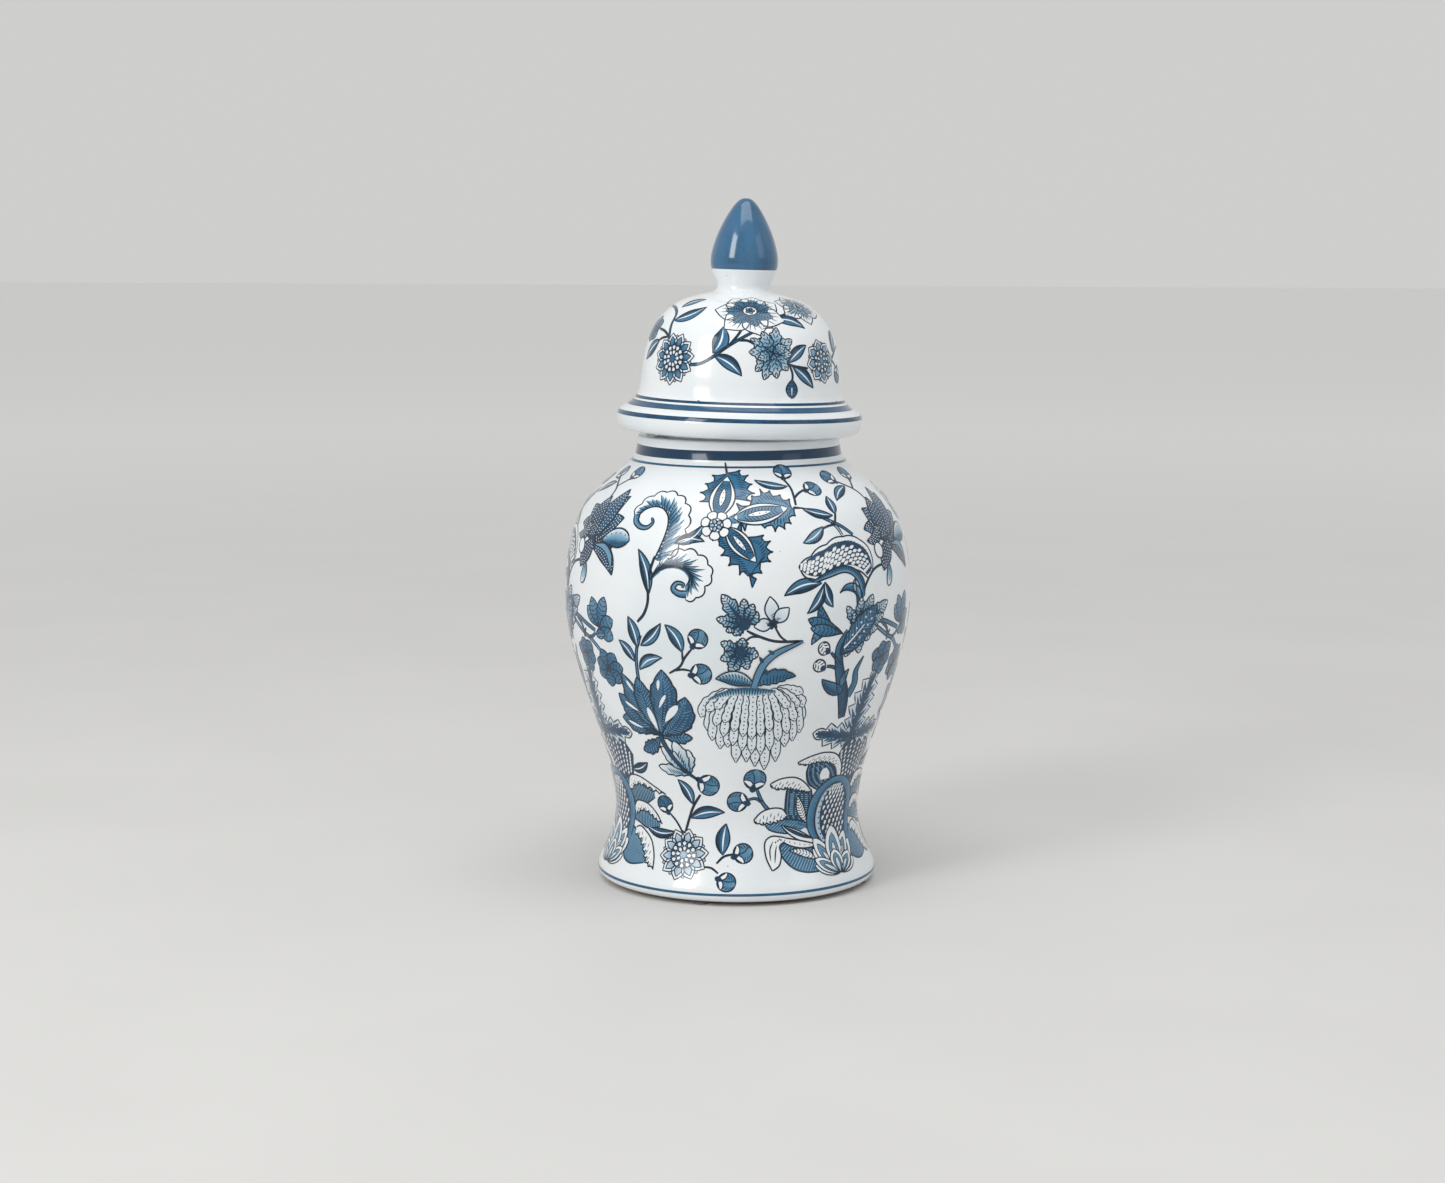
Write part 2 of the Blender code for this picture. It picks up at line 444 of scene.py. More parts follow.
class Pen:
    def __init__(self, wall):
        self.wall = wall
        self.films = {"wash": ([], [], []), "ink": ([], [], [])}

    # measuring in millimetres

    def span(self, start, end):
        scale = self.wall.perDegree((start.imag + end.imag) / 2)
        return complex((end.real - start.real) * scale, end.imag - start.imag)

    def shift(self, place, move, scale=None):
        return place + complex(move.real / (scale or self.wall.perDegree(place.imag)), move.imag)

    def gap(self, start, end):
        return abs(self.span(start, end))

    def through(self, keys, step=1.3):
        return curveThrough(keys, step, self.gap)

    def scallops(self, keys, bulge, parts=5):
        # an arc between each two keys: a bulge to the left of the way, or a hollow when negative
        edge = []
        for start, end in zip(keys, keys[1:]):
            way = self.span(start, end)
            for i in range(parts):
                t = i / parts
                edge.append(self.shift(start, way * t + 1j * way * bulge * 4 * t * (1 - t)))
        return edge + [keys[-1]]

    def evenly(self, points, rows):
        lengths = [0]
        for a, b in zip(points, points[1:]):
            lengths.append(lengths[-1] + self.gap(a, b))
        even = []
        for row in range(rows + 1):
            want = lengths[-1] * row / rows
            i = min(max(bisect.bisect_right(lengths, want) - 1, 0), len(points) - 2)
            part = (want - lengths[i]) / max(lengths[i + 1] - lengths[i], 1e-9)
            even.append(mix(points[i], points[i + 1], part))
        return even

    # shapes

    def area(self, left, right, rows=None):
        rows = rows or max(4, len(left), len(right))
        return Patch(self.evenly(left, rows), self.evenly(right, rows))

    def curved(self, left, right, rows=None):
        return self.area(self.through(left), self.through(right), rows)

    def along(self, points, widths):
        left, right = [], []
        for point, width, (before, after) in zip(points, widths, neighbours(points)):
            way = self.span(before, after)
            side = 1j * way / max(abs(way), 1e-6) * width / 2
            left.append(self.shift(point, side))
            right.append(self.shift(point, -side))
        return Patch(left, right)

    def band(self, keys, widths, step=1.3):
        points = self.through(keys, step)
        across = []
        for i in range(len(points)):
            place = i / (len(points) - 1) * (len(widths) - 1)
            low = min(int(place), len(widths) - 2)
            across.append(widths[low] + (widths[low + 1] - widths[low]) * (place - low))
        return self.along(points, across)

    def blade(self, base, tip, width, bend=0, peak=0.45, full=0.75, rows=12, teeth=0, bite=0):
        axis = self.span(base, tip)
        scale = self.wall.perDegree((base.imag + tip.imag) / 2)
        rows = teeth * 4 if teeth else max(rows, math.ceil(abs(axis) / film["grid"]))
        power = math.log(0.5) / math.log(peak)
        left, right = [], []
        for i in range(rows + 1):
            t = i / rows
            middle = axis * t + 1j * axis * bend * 4 * t * (1 - t)
            way = axis + 1j * axis * bend * 4 * (1 - 2 * t)
            half = width / 2 * max(math.sin(math.pi * t ** power), 0) ** full
            if teeth:
                half += bite * ((t * teeth) % 1 - 0.3) * min(1, 5 * (1 - t), 5 * t)
            side = 1j * way / abs(way) * half
            left.append(self.shift(base, middle + side, scale))
            right.append(self.shift(base, middle - side, scale))
        return Patch(left, right)

    def disc(self, centre, radius, squash=1, turn=0, rows=10):
        scale = self.wall.perDegree(centre.imag)
        swing = heading(turn)
        left, right = [], []
        for i in range(rows + 1):
            a = math.pi * i / rows
            out = complex(-math.sin(a) * squash, -math.cos(a)) * radius
            left.append(self.shift(centre, out * swing, scale))
            right.append(self.shift(centre, complex(-out.real, out.imag) * swing, scale))
        return Patch(left, right)

    # marks

    def lay(self, kind, patch, level, tones=1, columns=1):
        # four tones are left and right at the base, then at the tip; two are base and tip
        if isinstance(tones, (int, float)):
            tones = (tones,) * 4
        elif len(tones) == 2:
            tones = (tones[0], tones[0], tones[1], tones[1])
        points, faces, shades = self.films[kind]
        start = len(points)
        turning = 0
        for left, right, ahead in zip(patch.left, patch.right, patch.left[1:]):
            turning += (self.span(left, ahead).conjugate() * self.span(left, right)).imag
        if turning > 0:
            patch = Patch(patch.right, patch.left)
            tones = (tones[1], tones[0], tones[3], tones[2])
        lift = film["lift"] + film["step"] * level
        rows = len(patch.left)
        for row in range(rows):
            along = row / (rows - 1)
            for column in range(columns + 1):
                across = column / columns
                place = mix(patch.left[row], patch.right[row], across)
                points.append(self.wall.spot(place, lift))
                shades.append(mix(mix(*tones[:2], across), mix(*tones[2:], across), along))
        wide = columns + 1
        for row in range(rows - 1):
            for column in range(columns):
                corner = start + row * wide + column
                faces.append((corner, corner + 1, corner + wide + 1, corner + wide))

    def fill(self, patch, tones, level):
        widest = max(self.gap(a, b) for a, b in zip(patch.left, patch.right))
        self.lay("wash", patch, level, tones, max(1, math.ceil(widest / film["grid"])))

    def white(self, patch, level):
        self.fill(patch, 0, level)

    def tint(self, patch, tones, level, width=0.5, rise=1, taper=0.6):
        self.fill(patch, tones, level)
        self.outline(patch, width, level + rise, taper)
        return patch

    def ribbon(self, points, width, level=1, taper=0.35):
        # a pen line, thinner at its ends
        ends = min(0.25, 2.5 / len(points))
        places = [i / (len(points) - 1) for i in range(len(points))]
        press = [taper + (1 - taper) * min(1, t / ends, (1 - t) / ends) for t in places]
        self.lay("ink", self.along(points, [width * film["press"] * part for part in press]), level)

    def stroke(self, keys, width=0.5, level=1, taper=0.35):
        self.ribbon(self.through(keys), width, level, taper)

    def outline(self, patch, width, level, taper):
        self.ribbon(patch.left, width, level, taper)
        self.ribbon(patch.right, width, level, taper)

    def hatch(self, patch, count, along, across, level, lean=0.1, width=film["vein"]):
        middle = (across[0] + across[1]) / 2
        for t in spread(along, count):
            keys = [patch.at(t, across[0]), patch.at(t + lean * 0.42, middle), patch.at(t + lean, across[1])]
            if self.gap(keys[0], keys[2]) > 0.7:
                self.stroke(keys, width, level)

    def beads(self, patch, count, size, across=0.5, along=(0.1, 0.9), level=1, tone=None):
        for t in spread(along, count):
            dot = self.disc(patch.at(t, across), size / 2, rows=4)
            if tone is None:
                self.lay("ink", dot, level)
            else:
                self.fill(dot, tone, level)


def feather(pen, patch, spacing=1.6, lean=0.08, width=0.4, level=1, reach=0.42, ends=(0.04, 0.9)):
    # veins from the middle of a shape towards both of its edges
    count = max(3, round(pen.gap(patch.at(ends[0], 0.5), patch.at(ends[1], 0.5)) / spacing))
    for edge in (0.5 - reach, 0.5 + reach):
        pen.hatch(patch, count, ends, (0.5, edge), level, lean, width)


def paleVeins(pen, patch, count, tone, level, lean=0.1):
    for t in spread((0.06, 0.9), count):
        for near, far in ((0.46, 0.06), (0.54, 0.94)):
            vein = [patch.at(t, near), patch.at(t + lean, far)]
            if pen.gap(*vein) > 1:
                pen.fill(pen.band(vein, [0.55, 0.3], 3), tone, level)


def every(draw, pen, *rows):
    # the same drawing for each row of a table
    for row in rows:
        draw(pen, *row)


def leaf(pen, base, tip, width, bend=0.05, tones=(0.8, 0.5, 0.85, 0.55), level=0):
    blade = pen.tint(pen.blade(base, tip, width, bend, 0.48, 0.95), tones, level)
    pen.ribbon(blade.left[:-2], 0.7, level + 1)
    pen.hatch(blade, round(pen.gap(base, tip) / 2), (0.1, 0.7), (0.3, 0.06), level + 1, 0.12, 0.34)
    rib = [blade.at(t, 0.52) for t in (0.12, 0.35, 0.6, 0.9)]
    pen.white(pen.band(rib, [0.2, width * 0.13, width * 0.12, 0.15]), level + 2)


def stem(pen, keys, widths, tones=0.58, level=0):
    # a thick stem is a washed band between two lines, and a thin one a single line
    if max(widths) < 1.2:
        pen.stroke(keys, max(widths), level + 1, min(widths) / max(widths))
    else:
        pen.tint(pen.band(keys, widths), tones, level, 0.42)


def rosebud(pen, centre, radius, turn, tone=0.55):
    # a round hatched bud with two small pale sepals at its stem
    bud = pen.tint(pen.disc(centre, radius, 1, turn), (tone + 0.15, tone + 0.05, tone - 0.1, tone - 0.15), 0)
    pen.hatch(bud, 6, (0.3, 0.98), (0.06, 0.3), 1, 0.1, 0.3)
    pen.hatch(bud, 6, (0.4, 0.98), (0.94, 0.7), 1, 0.1, 0.3)
    way = heading(turn)
    pen.stroke([pen.shift(centre, way * complex(x, y) * radius) for x,
        y in ((-0.5, 0.85), (-0.1, 0.2), (0, -0.6))], 0.35, 1)
    foot = pen.shift(centre, -1j * way * radius)
    for side in (-1, 1):
        point = pen.shift(centre, way * complex(side * radius * 1.02, -radius * 0.3))
        pen.tint(pen.blade(foot, point, radius * 0.5, side * 0.16, 0.5, 0.7, 8), 0, 2, 0.4)
    pen.fill(pen.blade(pen.shift(foot, -1j * way * radius * 0.35), pen.shift(foot, 1j * way * radius * 0.55),
        radius * 0.6, 0, 0.4, 0.6, 6), 0.95, 3)


def petal(pen, base, tip, width, bend=0, tones=0.62, level=0, full=0.95, peak=0.5, spacing=1.7, line=0.5,
        teeth=0, bite=0):
    shape = pen.blade(base, tip, width, bend, peak, full, 12, teeth, bite)
    pen.fill(shape, tones, level)
    pen.outline(shape, line, level + 0.5, 0.8)
    if spacing:
        feather(pen, shape, spacing, level=level + 0.5)
    return shape


def petalRing(pen, centre, count, inner, outer, width, tones, turn, full, peak, level):
    for i in range(count):
        way = heading(turn + i * 360 / count)
        petal(pen, pen.shift(centre, way * inner), pen.shift(centre, way * outer), width, 0, tones, level,
            full, peak, 0, 0.4)


def rosette(pen, centre, radius, level):
    petalRing(pen, centre, 7, radius * 0.35, radius, radius * 0.66, 0, 10, 0.45, 0.6, level)
    pen.tint(pen.disc(centre, radius * 0.46, rows=8), 0, level + 1, 0.42)
    petalRing(pen, centre, 5, radius * 0.08, radius * 0.42, radius * 0.26, 0.25, 40, 0.5, 0.5, level + 2)


def dahlia(pen, centre, radius, tone, count=11):
    # pointed petals, with others peeping out behind them, around rings of small ones
    wide = radius * 4.4 / count
    petalRing(pen, centre, count, radius * 0.3, radius * 0.98, wide, (tone, 0.1), 8 + 180 / count, 1, 0.5, 0)
    petalRing(pen, centre, count, radius * 0.3, radius * 1.08, wide * 1.3, 0.04, 8, 1.05, 0.5, 1)
    petalRing(pen, centre, count, radius * 0.34, radius * 0.93, wide * 0.74, (tone + 0.15, tone - 0.1), 8,
        1.05, 0.5, 1.5)
    pen.tint(pen.disc(centre, radius * 0.56, rows=12), tone + 0.1, 2, 0.42)
    for number, inner, outer, width in ((count + 2, 0.34, 0.55, 0.2), (count - 2, 0.14, 0.35, 0.18)):
        petalRing(pen, centre, number, radius * inner, radius * outer, radius * width, tone * 0.15,
            5 * number, 0.45, 0.6, 3)
    pen.fill(pen.disc(centre, radius * 0.12, rows=6), tone + 0.1, 4)


def scales(pen, patch, rows, columns, size, level, slant=0.5, ends=(0.04, 0.96), sides=(0.06, 0.94)):
    # little pale seeds in staggered slanting rows
    for row, t in enumerate(spread(ends, rows)):
        room = pen.gap(patch.at(t, sides[0]), patch.at(t, sides[1])) / columns
        for column in range(columns - row % 2):
            across = sides[0] + (sides[1] - sides[0]) * (column + 0.5 + 0.5 * (row % 2)) / columns
            foot = pen.shift(patch.at(t, across), complex(-slant, -1) * size * 0.5)
            tip = pen.shift(foot, complex(slant, 1) * size)
            pen.white(pen.blade(foot, tip, min(size * 0.6, room * 0.62), 0.12, 0.6, 0.7, 5), level)


def shagFlower(pen, heart, tips):
    # ragged pale petals, each with a dark vein, around a dark heart
    for level, (tip, width) in enumerate(tips):
        shape = petal(pen, heart, tip, width, 0, (0.75, 0.03), level, 0.9, 0.58, 1.5, 0.55, 4, 1.3)
        pen.fill(pen.blade(heart, shape.at(0.8, 0.5), width * 0.3, 0, 0.35, 0.9, 6), 0.95, level + 0.6)
    pen.fill(pen.disc(heart, 2.6, rows=6), 0.95, len(tips))


def almond(pen, base, tip, width, level, tone=0.62):
    # a white-edged petal with a hatched blue inside and a white seed in the middle
    outer = pen.tint(pen.blade(base, tip, width, 0, 0.45, 0.85, 16), 0, level)
    inner = outer.part(0.06, 0.88, 0.17, 0.83, 14)
    pen.tint(inner, tone, level + 1, 0.42)
    feather(pen, inner, 1.7, 0.09, 0.32, level + 2, 0.45, (0.1, 0.85))
    seed = pen.tint(pen.blade(inner.at(0.22, 0.5), inner.at(0.75, 0.5), width * 0.24, 0, 0.5, 0.7, 10), 0,
        level + 3, 0.3)
    pen.beads(seed, 3, 0.7, level=level + 4)


def spikes(pen, tips, inward, tone, level):
    # hollow-sided thorns that stand on the valleys between their tips
    valleys = []
    for start, end in zip(tips, tips[1:]):
        way = pen.span(start, end)
        valleys.append(pen.shift(start, way * 0.5 + 1j * way * inward * 0.55))
    for before, tip, after in zip(valleys, tips[1:], valleys[1:]):
        pinch = (after - before) * 0.13
        pen.tint(pen.area([before, (before + tip) / 2 + pinch, tip], [after, (after + tip) / 2 - pinch, tip],
            5), tone, level, taper=0.9)
    return valleys


def thornyLeaf(pen, base, left, right, tip, tone, level=0):
    leftValleys = spikes(pen, [base, *left, tip], -1, tone, level)
    rightValleys = spikes(pen, [base, *right, tip], 1, tone, level)
    end = Patch([leftValleys[-1], tip], [rightValleys[-1], tip])
    pen.tint(end, tone, level, taper=0.9)
    body = pen.area([base, *leftValleys], [base, *rightValleys], 30)
    pen.fill(body, tone, level)
    pen.hatch(body, 24, (0.08, 0.96), (0, 0.2), level + 1, 0.03)
    pen.hatch(body, 24, (0.08, 0.96), (1, 0.8), level + 1, 0.03)


def starFlower(pen):
    heart = -8+195j
    every(thornyLeaf, pen, (heart, [-15.6+208.5j, -16.4+214.6j, -15.4+221j, -13.2+227j], [5+209j, 6.6+214.4j,
        6+221j, 4.6+227.4j, 0.6+230.6j], -7.4+235j, 0.58),
        (heart, [-1+208j, 5+213j, 8.8+217.6j, 13+216.4j, 17+213.4j, 20.4+210.6j],
        [2+192j, 9+193.4j, 12.4+191.4j, 16+192.6j, 18.6+195.4j, 20.6+199.6j], 25+204j, 0.5, 1),
        (heart, [1+199j, 8.4+190j, 10.6+187j, 11.2+181.4j, 10.4+176.6j, 7.4+171j],
        [-9+187j, -6.6+184.6j, -6+179.6j, -3.4+174.6j, 0.2+170j, 2.6+170j], 4.2+164j, 0.62, 2))
    every(almond, pen, (-7.6+199j, -5.5+226.4j, 12.4, 4), (-2+199j, 18.6+204.6j, 12, 4, 0.5),
        (-4.4+194j, 5.6+176.4j, 10, 4, 0.7))
    every(leaf, pen, (-21.5+185j, -12+196j, 4.8, -0.14), (-22+184.6j, -11.5+186.4j, 4.6, 0.14))
    rosette(pen, heart, 7.8, 8)


def scrollFern(pen, spine, ruffle, curl, bulge):
    # a curled frond: a blue feather along its spine and a scalloped white edge
    edge = pen.scallops(ruffle, bulge, 8)
    frond = pen.area(pen.through(spine, 0.9), edge, 60)
    pen.white(frond, 0)
    plumes = 24
    for i in range(plumes):
        t = (i + 0.3) / plumes
        long = 0.8 * (0.84 + 0.16 * math.sin(i * 2.1))
        barb = pen.blade(frond.at(t, 0.02), frond.at(min(t + 0.05, 1), long), 1.9, -0.08, 0.35, 0.75, 6)
        pen.fill(barb, (0.8, 0.62, 0.25, 0.2), 0.5)
        pen.ribbon(barb.left, 0.36, 1.5)
    pen.ribbon(edge, 0.5, 1, 0.7)
    pen.ribbon(frond.left, 0.6, 2, 0.6)
    pen.tint(pen.band(curl, [3.4, 2.6, 1.8, 0.8], 0.7), (0.75, 0.35, 0.5, 0.3), 1)


def ferns(pen):
    every(scrollFern, pen, ([-28.6+176j, -26.6+184j, -25.4+192j, -26+198.5j, -29+203j, -33+204j, -36.5+202j,
        -38.4+198.6j], [-24+177j, -20.4+185j, -18.8+192.4j, -18.4+200j, -21+207j, -25.5+212j, -31+213.6j,
        -36+210.6j, -39.6+205j, -40.4+198j],
        [-39.4+199j, -38.8+195j, -36.4+192.4j, -33.4+192.2j, -31.6+195j, -32.6+197.6j], -0.28),
        ([-29.6+166j, -27+170.5j, -23.6+173j, -20+173.4j, -17+171.6j, -15.6+168.4j, -16.4+165j],
        [-26.4+174j, -22.6+179j, -18+181.6j, -13.4+179.6j, -10+175j, -8.8+169.6j, -10.8+164.4j, -13.6+158.6j,
        -17+157.6j], [-16.6+160j, -19.4+160.4j, -21.2+162.6j, -20+165.4j, -17.8+165j, -18.2+163.2j], 0.28))
    leaf(pen, -29.8+158.5j, -35.2+181j, 6, -0.09)
    stem(pen, [-28.4+178j, -29.8+170j, -30+162j, -30+155j, -31.4+149j, -34+144.6j], (1, 0.8))


def upperBranch(pen):
    every(stem, pen, ([25+203j, 29+200j, 33+196.8j, 38+193j, 42.5+188j], (1.6, 1.3)),
        ([34+196j, 36.4+192j, 37.6+188j], (1.4, 1.2), 0.2), ([30.4+192.4j, 33+193.6j, 36+194j], (0.8, 0.7)),
        ([37.4+200j, 36+195.4j], (0.8, 0.7)), ([22+206j, 22.6+212j, 22.6+219j, 20.4+226j], (0.8, 0.7)),
        ([22.4+210.5j, 25+213.6j, 28.4+216j], (0.8, 0.7)),
        ([59.6+205j, 58+212j, 54+216.6j, 49.4+220.6j], (0.8, 0.7)),
        ([56.6+214j, 60+219j, 61.6+222.4j], (0.8, 0.7)))
    every(leaf, pen, (36+199j, 24+204j, 4.6, 0.06), (30.4+193.4j, 21.8+185.4j, 5.2, 0.08, 0.5),
        (37.2+199.6j, 37.6+211j, 5, 0), (21.8+219j, 7+224j, 4.8, 0.1), (52.6+216.4j, 41.4+207.4j, 5, -0.1))
    every(rosebud, pen, (22+229j, 4.6, -10), (33+216.6j, 4.8, -75), (46.6+223.6j, 4.6, 35),
        (62.4+225j, 4.4, -15))


def dottedPetal(pen, base, tip, width, bend, tone, level):
    shape = petal(pen, base, tip, width, bend, (tone + 0.2, tone + 0.08), level, 0.85, 0.5, 0, 0.6)
    count = round(pen.gap(base, tip) / 2.3)
    rows = 5
    for row in range(rows):
        start = 0.1 + 0.04 * (row % 2)
        pen.beads(shape, count, 0.6, (row + 0.7) / (rows + 0.4), (start, start + 0.8), level + 0.5, 0)


def peony(pen):
    heart = 61+181j
    for i, (tip, width, bend) in enumerate((
        (73+180j, 9, 0.1), (75+196j, 11, 0.1), (72+209j, 11, 0.05), (48.6+190j, 9, -0.2), (52+201j, 12, -0.1),
    )):
        dottedPetal(pen, heart, tip, width, bend, 0.75, i)
    every(dottedPetal, pen, (61+184j, 68.4+213.5j, 11.5, -0.06, 0.7, 5),
        (60+182j, 60.4+207.5j, 11.5, 0.05, 0.78, 6), (57+193j, 48.6+184j, 6, 0.25, 0.85, 7))
    lobe = petal(pen, 67+183j, 80.4+184.6j, 10, 0.08, (0, 0.9, 0.05, 0.7), 7, 0.6, 0.6, 0, 0.6)
    pen.hatch(lobe, 10, (0.3, 0.9), (0.98, 0.62), 8, 0.05)
    pen.beads(lobe, 5, 0.8, 0.25, level=8)
    every(dottedPetal, pen, (62+179j, 74.6+166.5j, 9, 0.2, 0.78, 8), (63+182j, 55.6+168j, 10, -0.1, 0.85, 9))
    pen.tint(pen.band([64+180.6j, 69+180j, 72.6+175.6j, 74+168j], [0.8, 3.4, 3.4, 0.4]), 0.42, 10, 0.42)
    tongue = petal(pen, 58.6+172j, 57.4+160j, 5, 0.12, (0.75, 0.6, 0, 0), 8, 0.5, 0.6, 0, 0.5)
    pen.beads(tongue, 2, 0.7, level=9)
    pen.tint(pen.disc(54+178.6j, 4, 0.85, 20), 0, 10)
    stem(pen, [57+171.6j, 52+170.6j, 48.6+168j, 45+161.6j, 42.6+152j], (0.9, 0.7))


def scalyPod(pen):
    top = pen.scallops([19.6+173.6j, 24+178.4j, 30.4+184j, 37.6+187.4j, 45+185j, 49.4+177j, 48.6+168j], 0.12,
        8)
    under = pen.through([19.6+173.6j, 21.6+168.6j, 26+166j, 31.6+169.6j, 38+171j, 43+169.4j, 46.4+165.6j])
    pod = pen.area(top, under, 50)
    pen.white(pod, 0)
    pen.ribbon(pod.left, 0.5, 1, 0.8)
    pen.ribbon(pod.right, 0.6, 1, 0.8)
    scaly = pod.part(0.01, 0.97, 0.24, 0.86, 50)
    pen.fill(scaly, 0.95, 0.6)
    rows = 19
    for row in range(rows):
        t = 0.02 + 0.95 * row / rows
        for column in range(4):
            across = 0.2 + column * 0.25 + (row % 2) * 0.12
            if across < 1.05:
                pen.white(pen.blade(scaly.at(t - 0.004, across), scaly.at(t + 0.036, across - 0.17), 1.7, 0,
                    0.5, 0.75, 5), 1.6)
    for i in range(24):
        t = 0.1 + 0.85 * i / 24
        pen.fill(pen.blade(scaly.at(t, 0.04), pod.at(min(t + 0.055, 0.99), 0.13), 1.5, 0.05, 0.3, 0.8, 5),
            0.9, 1.6)
    crest = pen.tint(pen.curved([24.6+166.6j, 30+170.6j, 36+172.8j, 41+170.6j, 44.4+165j, 44.6+157j],
        [25+165.6j, 30+167.6j, 36+169.6j, 40+167.4j, 42.4+162j, 43+155j], 30), (0.8, 0.3, 0.8, 0.4), 2)
    pen.hatch(crest, 24, (0.03, 0.9), (0.05, 0.6), 3, 0.02)
    pen.tint(pen.curved([41+152j, 40.6+158j, 38+160.4j, 35.4+160.6j, 34+159.4j],
        [42.4+152.6j, 43.4+158j, 40.6+163.4j, 36.6+163.4j, 34+159.8j], 18), (0.75, 0.15, 0.9, 0.4), 2)
    thorn = petal(pen, 40.6+159.4j, 40.6+166j, 2.4, 0.1, 0.3, 2, 0.8, 0.4, 0)
    pen.stroke([thorn.at(0, 0.5), 42+155j, 41.2+151j], 0.6, 3)
    every(leaf, pen, (27.4+165j, 14.4+159.6j, 6.4, -0.1), (28+164.6j, 22+150.4j, 5, 0.12),
        (28.6+165.6j, 31.4+152.8j, 5.6, -0.1))


def middleFlowers(pen):
    every(shagFlower, pen, (2+145.4j, [(-4+142.4j, 4.4), (-7+148.6j, 5.4), (-1.6+140.4j, 4), (-5.4+160.6j, 7),
        (1.6+158.6j, 5.6), (6+152j, 7), (4.6+156j, 5)]),
        (0.8+131.6j, [(-5.6+136.8j, 5.2), (-5.8+127.6j, 5.4), (1.4+139j, 5), (6.4+130j, 6.4),
        (3.2+122.6j, 5.2), (-2.8+120.6j, 6)]))
    for i, (tip, width) in enumerate(((9.8+159.6j, 7), (16+153.8j, 6.6), (4.8+144.6j, 6.4))):
        shape = petal(pen, 11+146.4j, tip, width, 0, (0.2, 0), i, 0.95, 0.5, 0)
        pen.hatch(shape, 3, (0.06, 0.3), (0.3, 0.7), i + 1, 0.12, 0.3)
    petalRing(pen, 10.8+146j, 6, 0, 2.9, 1.4, 0.95, 15, 0.8, 0.4, 4)
    every(stem, pen, ([11.6+144j, 13.4+139.4j, 15.4+137j], (0.7, 0.6)),
        ([2.6+142.6j, 6+140j, 12+137j, 21+136.6j], (0.9, 0.6)), ([2+137j, 4+139.4j, 7+139.4j], (0.7, 0.6)),
        ([-23.6+119j, -19.6+123j, -17.6+128j, -15+133j], (0.8, 0.6)),
        ([-18.4+130.6j, -18.4+126j], (0.7, 0.6)), ([-22+120.6j, -18.6+121.6j, -15.6+121j], (0.8, 0.6)),
        ([-36.4+111j, -36+122j, -35+131j, -33+138j], (1.6, 1.2)))
    every(leaf, pen, (-18.4+130.6j, -24+144.4j, 6.4, -0.1), (-34.6+131j, -37.8+147j, 6.4, -0.06),
        (-33.4+132.6j, -25.4+145j, 5.4, -0.08), (-36.6+123.6j, -42.4+134.2j, 5, -0.08),
        (-35+119.4j, -25.6+127j, 5.4, 0.14, 0.5))
    every(rosebud, pen, (-13+138j, 5, -35), (-12.4+119.6j, 5.4, -80))


def artichoke(pen):
    # overlapping wavy scales with dots that fan down from a leafy crown
    crown = 5+111j
    rim = [-13.6+95.6j, -11.4+88j, -10+82.6j, -7+78j, -4+79j, -0.8+70.4j, 3.4+70.6j, 7+68j, 11+66j,
        15.4+70.4j, 18.6+78.6j, 21.6+81.6j, 24+86j, 24.4+92.4j, 24+100.6j, 23+108.6j]
    middle = [-11+99j, -8.4+91j, -5.6+85j, -2+80j, 1.6+77j, 5.4+75.4j, 9+74.6j, 12.6+77j, 15.8+82j, 19+86j,
        21.4+93j, 22+101j]
    inner = [-8+101j, -5+93j, -1.6+88j, 1.8+85j, 5.2+83.6j, 8.6+85j, 12+88j, 15.4+93j, 18.2+101j]
    level = 0
    for tips, spread, width in ((rim, 0.9, 5.2), (middle, 0.84, 4.8), (inner, 0.8, 4.6)):
        for tip in sorted(tips, key=lambda tip: -abs(tip.real - 5)):
            start = crown + complex((tip.real - 5) * 0.45, 0)
            bow = complex(5 + (tip.real - 5) * spread, tip.imag + (111 - tip.imag) * 0.5)
            waist = width * 0.74
            widths = [1.2, width, waist, width, waist, width, waist, width, width * 0.9, 0.3]
            scale = pen.tint(pen.band([start, start * 0.5 + bow * 0.5 + 1j, bow, bow * 0.45 + tip * 0.55,
                tip], widths, 1.1), 0.05, level, 0.36, 0.4, 0.8)
            count = round(pen.gap(start, tip) / 2.7)
            pen.beads(scale, count, 0.8, 0.5, (0.08, 0.97), level + 0.4)
            level += 0.7
    skirt = pen.curved([-10.6+106j, -6+110j, 0+112.6j, 7+112.4j, 13+111j],
        [-10+105.6j, -5.4+107.4j, 0+108.6j, 6+108.4j, 12+109.4j], 30)
    pen.fill(skirt, (0.75, 0.1, 0.75, 0.1), level)
    pen.hatch(skirt, 24, (0.01, 0.97), (0, 1), level + 1, 0)
    left = petal(pen, 5.4+113.6j, -7.6+117.4j, 7.6, -0.12, (0.85, 0.05, 0.8, 0.05), level + 1, 0.95, 0.5, 0)
    pen.hatch(left, 11, (0.08, 0.9), (0.5, 0.04), level + 2, 0.05, 0.4)
    pen.hatch(left, 11, (0.08, 0.9), (0.5, 0.85), level + 2, 0.05, 0.4)
    right = petal(pen, 5+113.6j, 19.4+118.4j, 7.4, 0.12, (0.6, 0.5, 0.75, 0.7), level + 2, 0.95, 0.5, 0, 0.5,
        5, 1)
    pen.hatch(right, 10, (0.1, 0.9), (0.95, 0.4), level + 3, 0.05)
    stem(pen, [5.2+112.6j, 6.6+120j, 8.8+126.4j, 13+131.6j, 21+136.6j], (3, 3.6, 3.4, 2.6, 1), 0.48,
        level + 3)
    for base, tip in ((8+126j, 6.6+129.6j), (11.6+130.6j, 9.4+132.6j), (8.8+122.6j, 9.6+119j)):
        pen.fill(pen.blade(base, tip, 1.9, 0, 0.3), 0.9, level + 4)


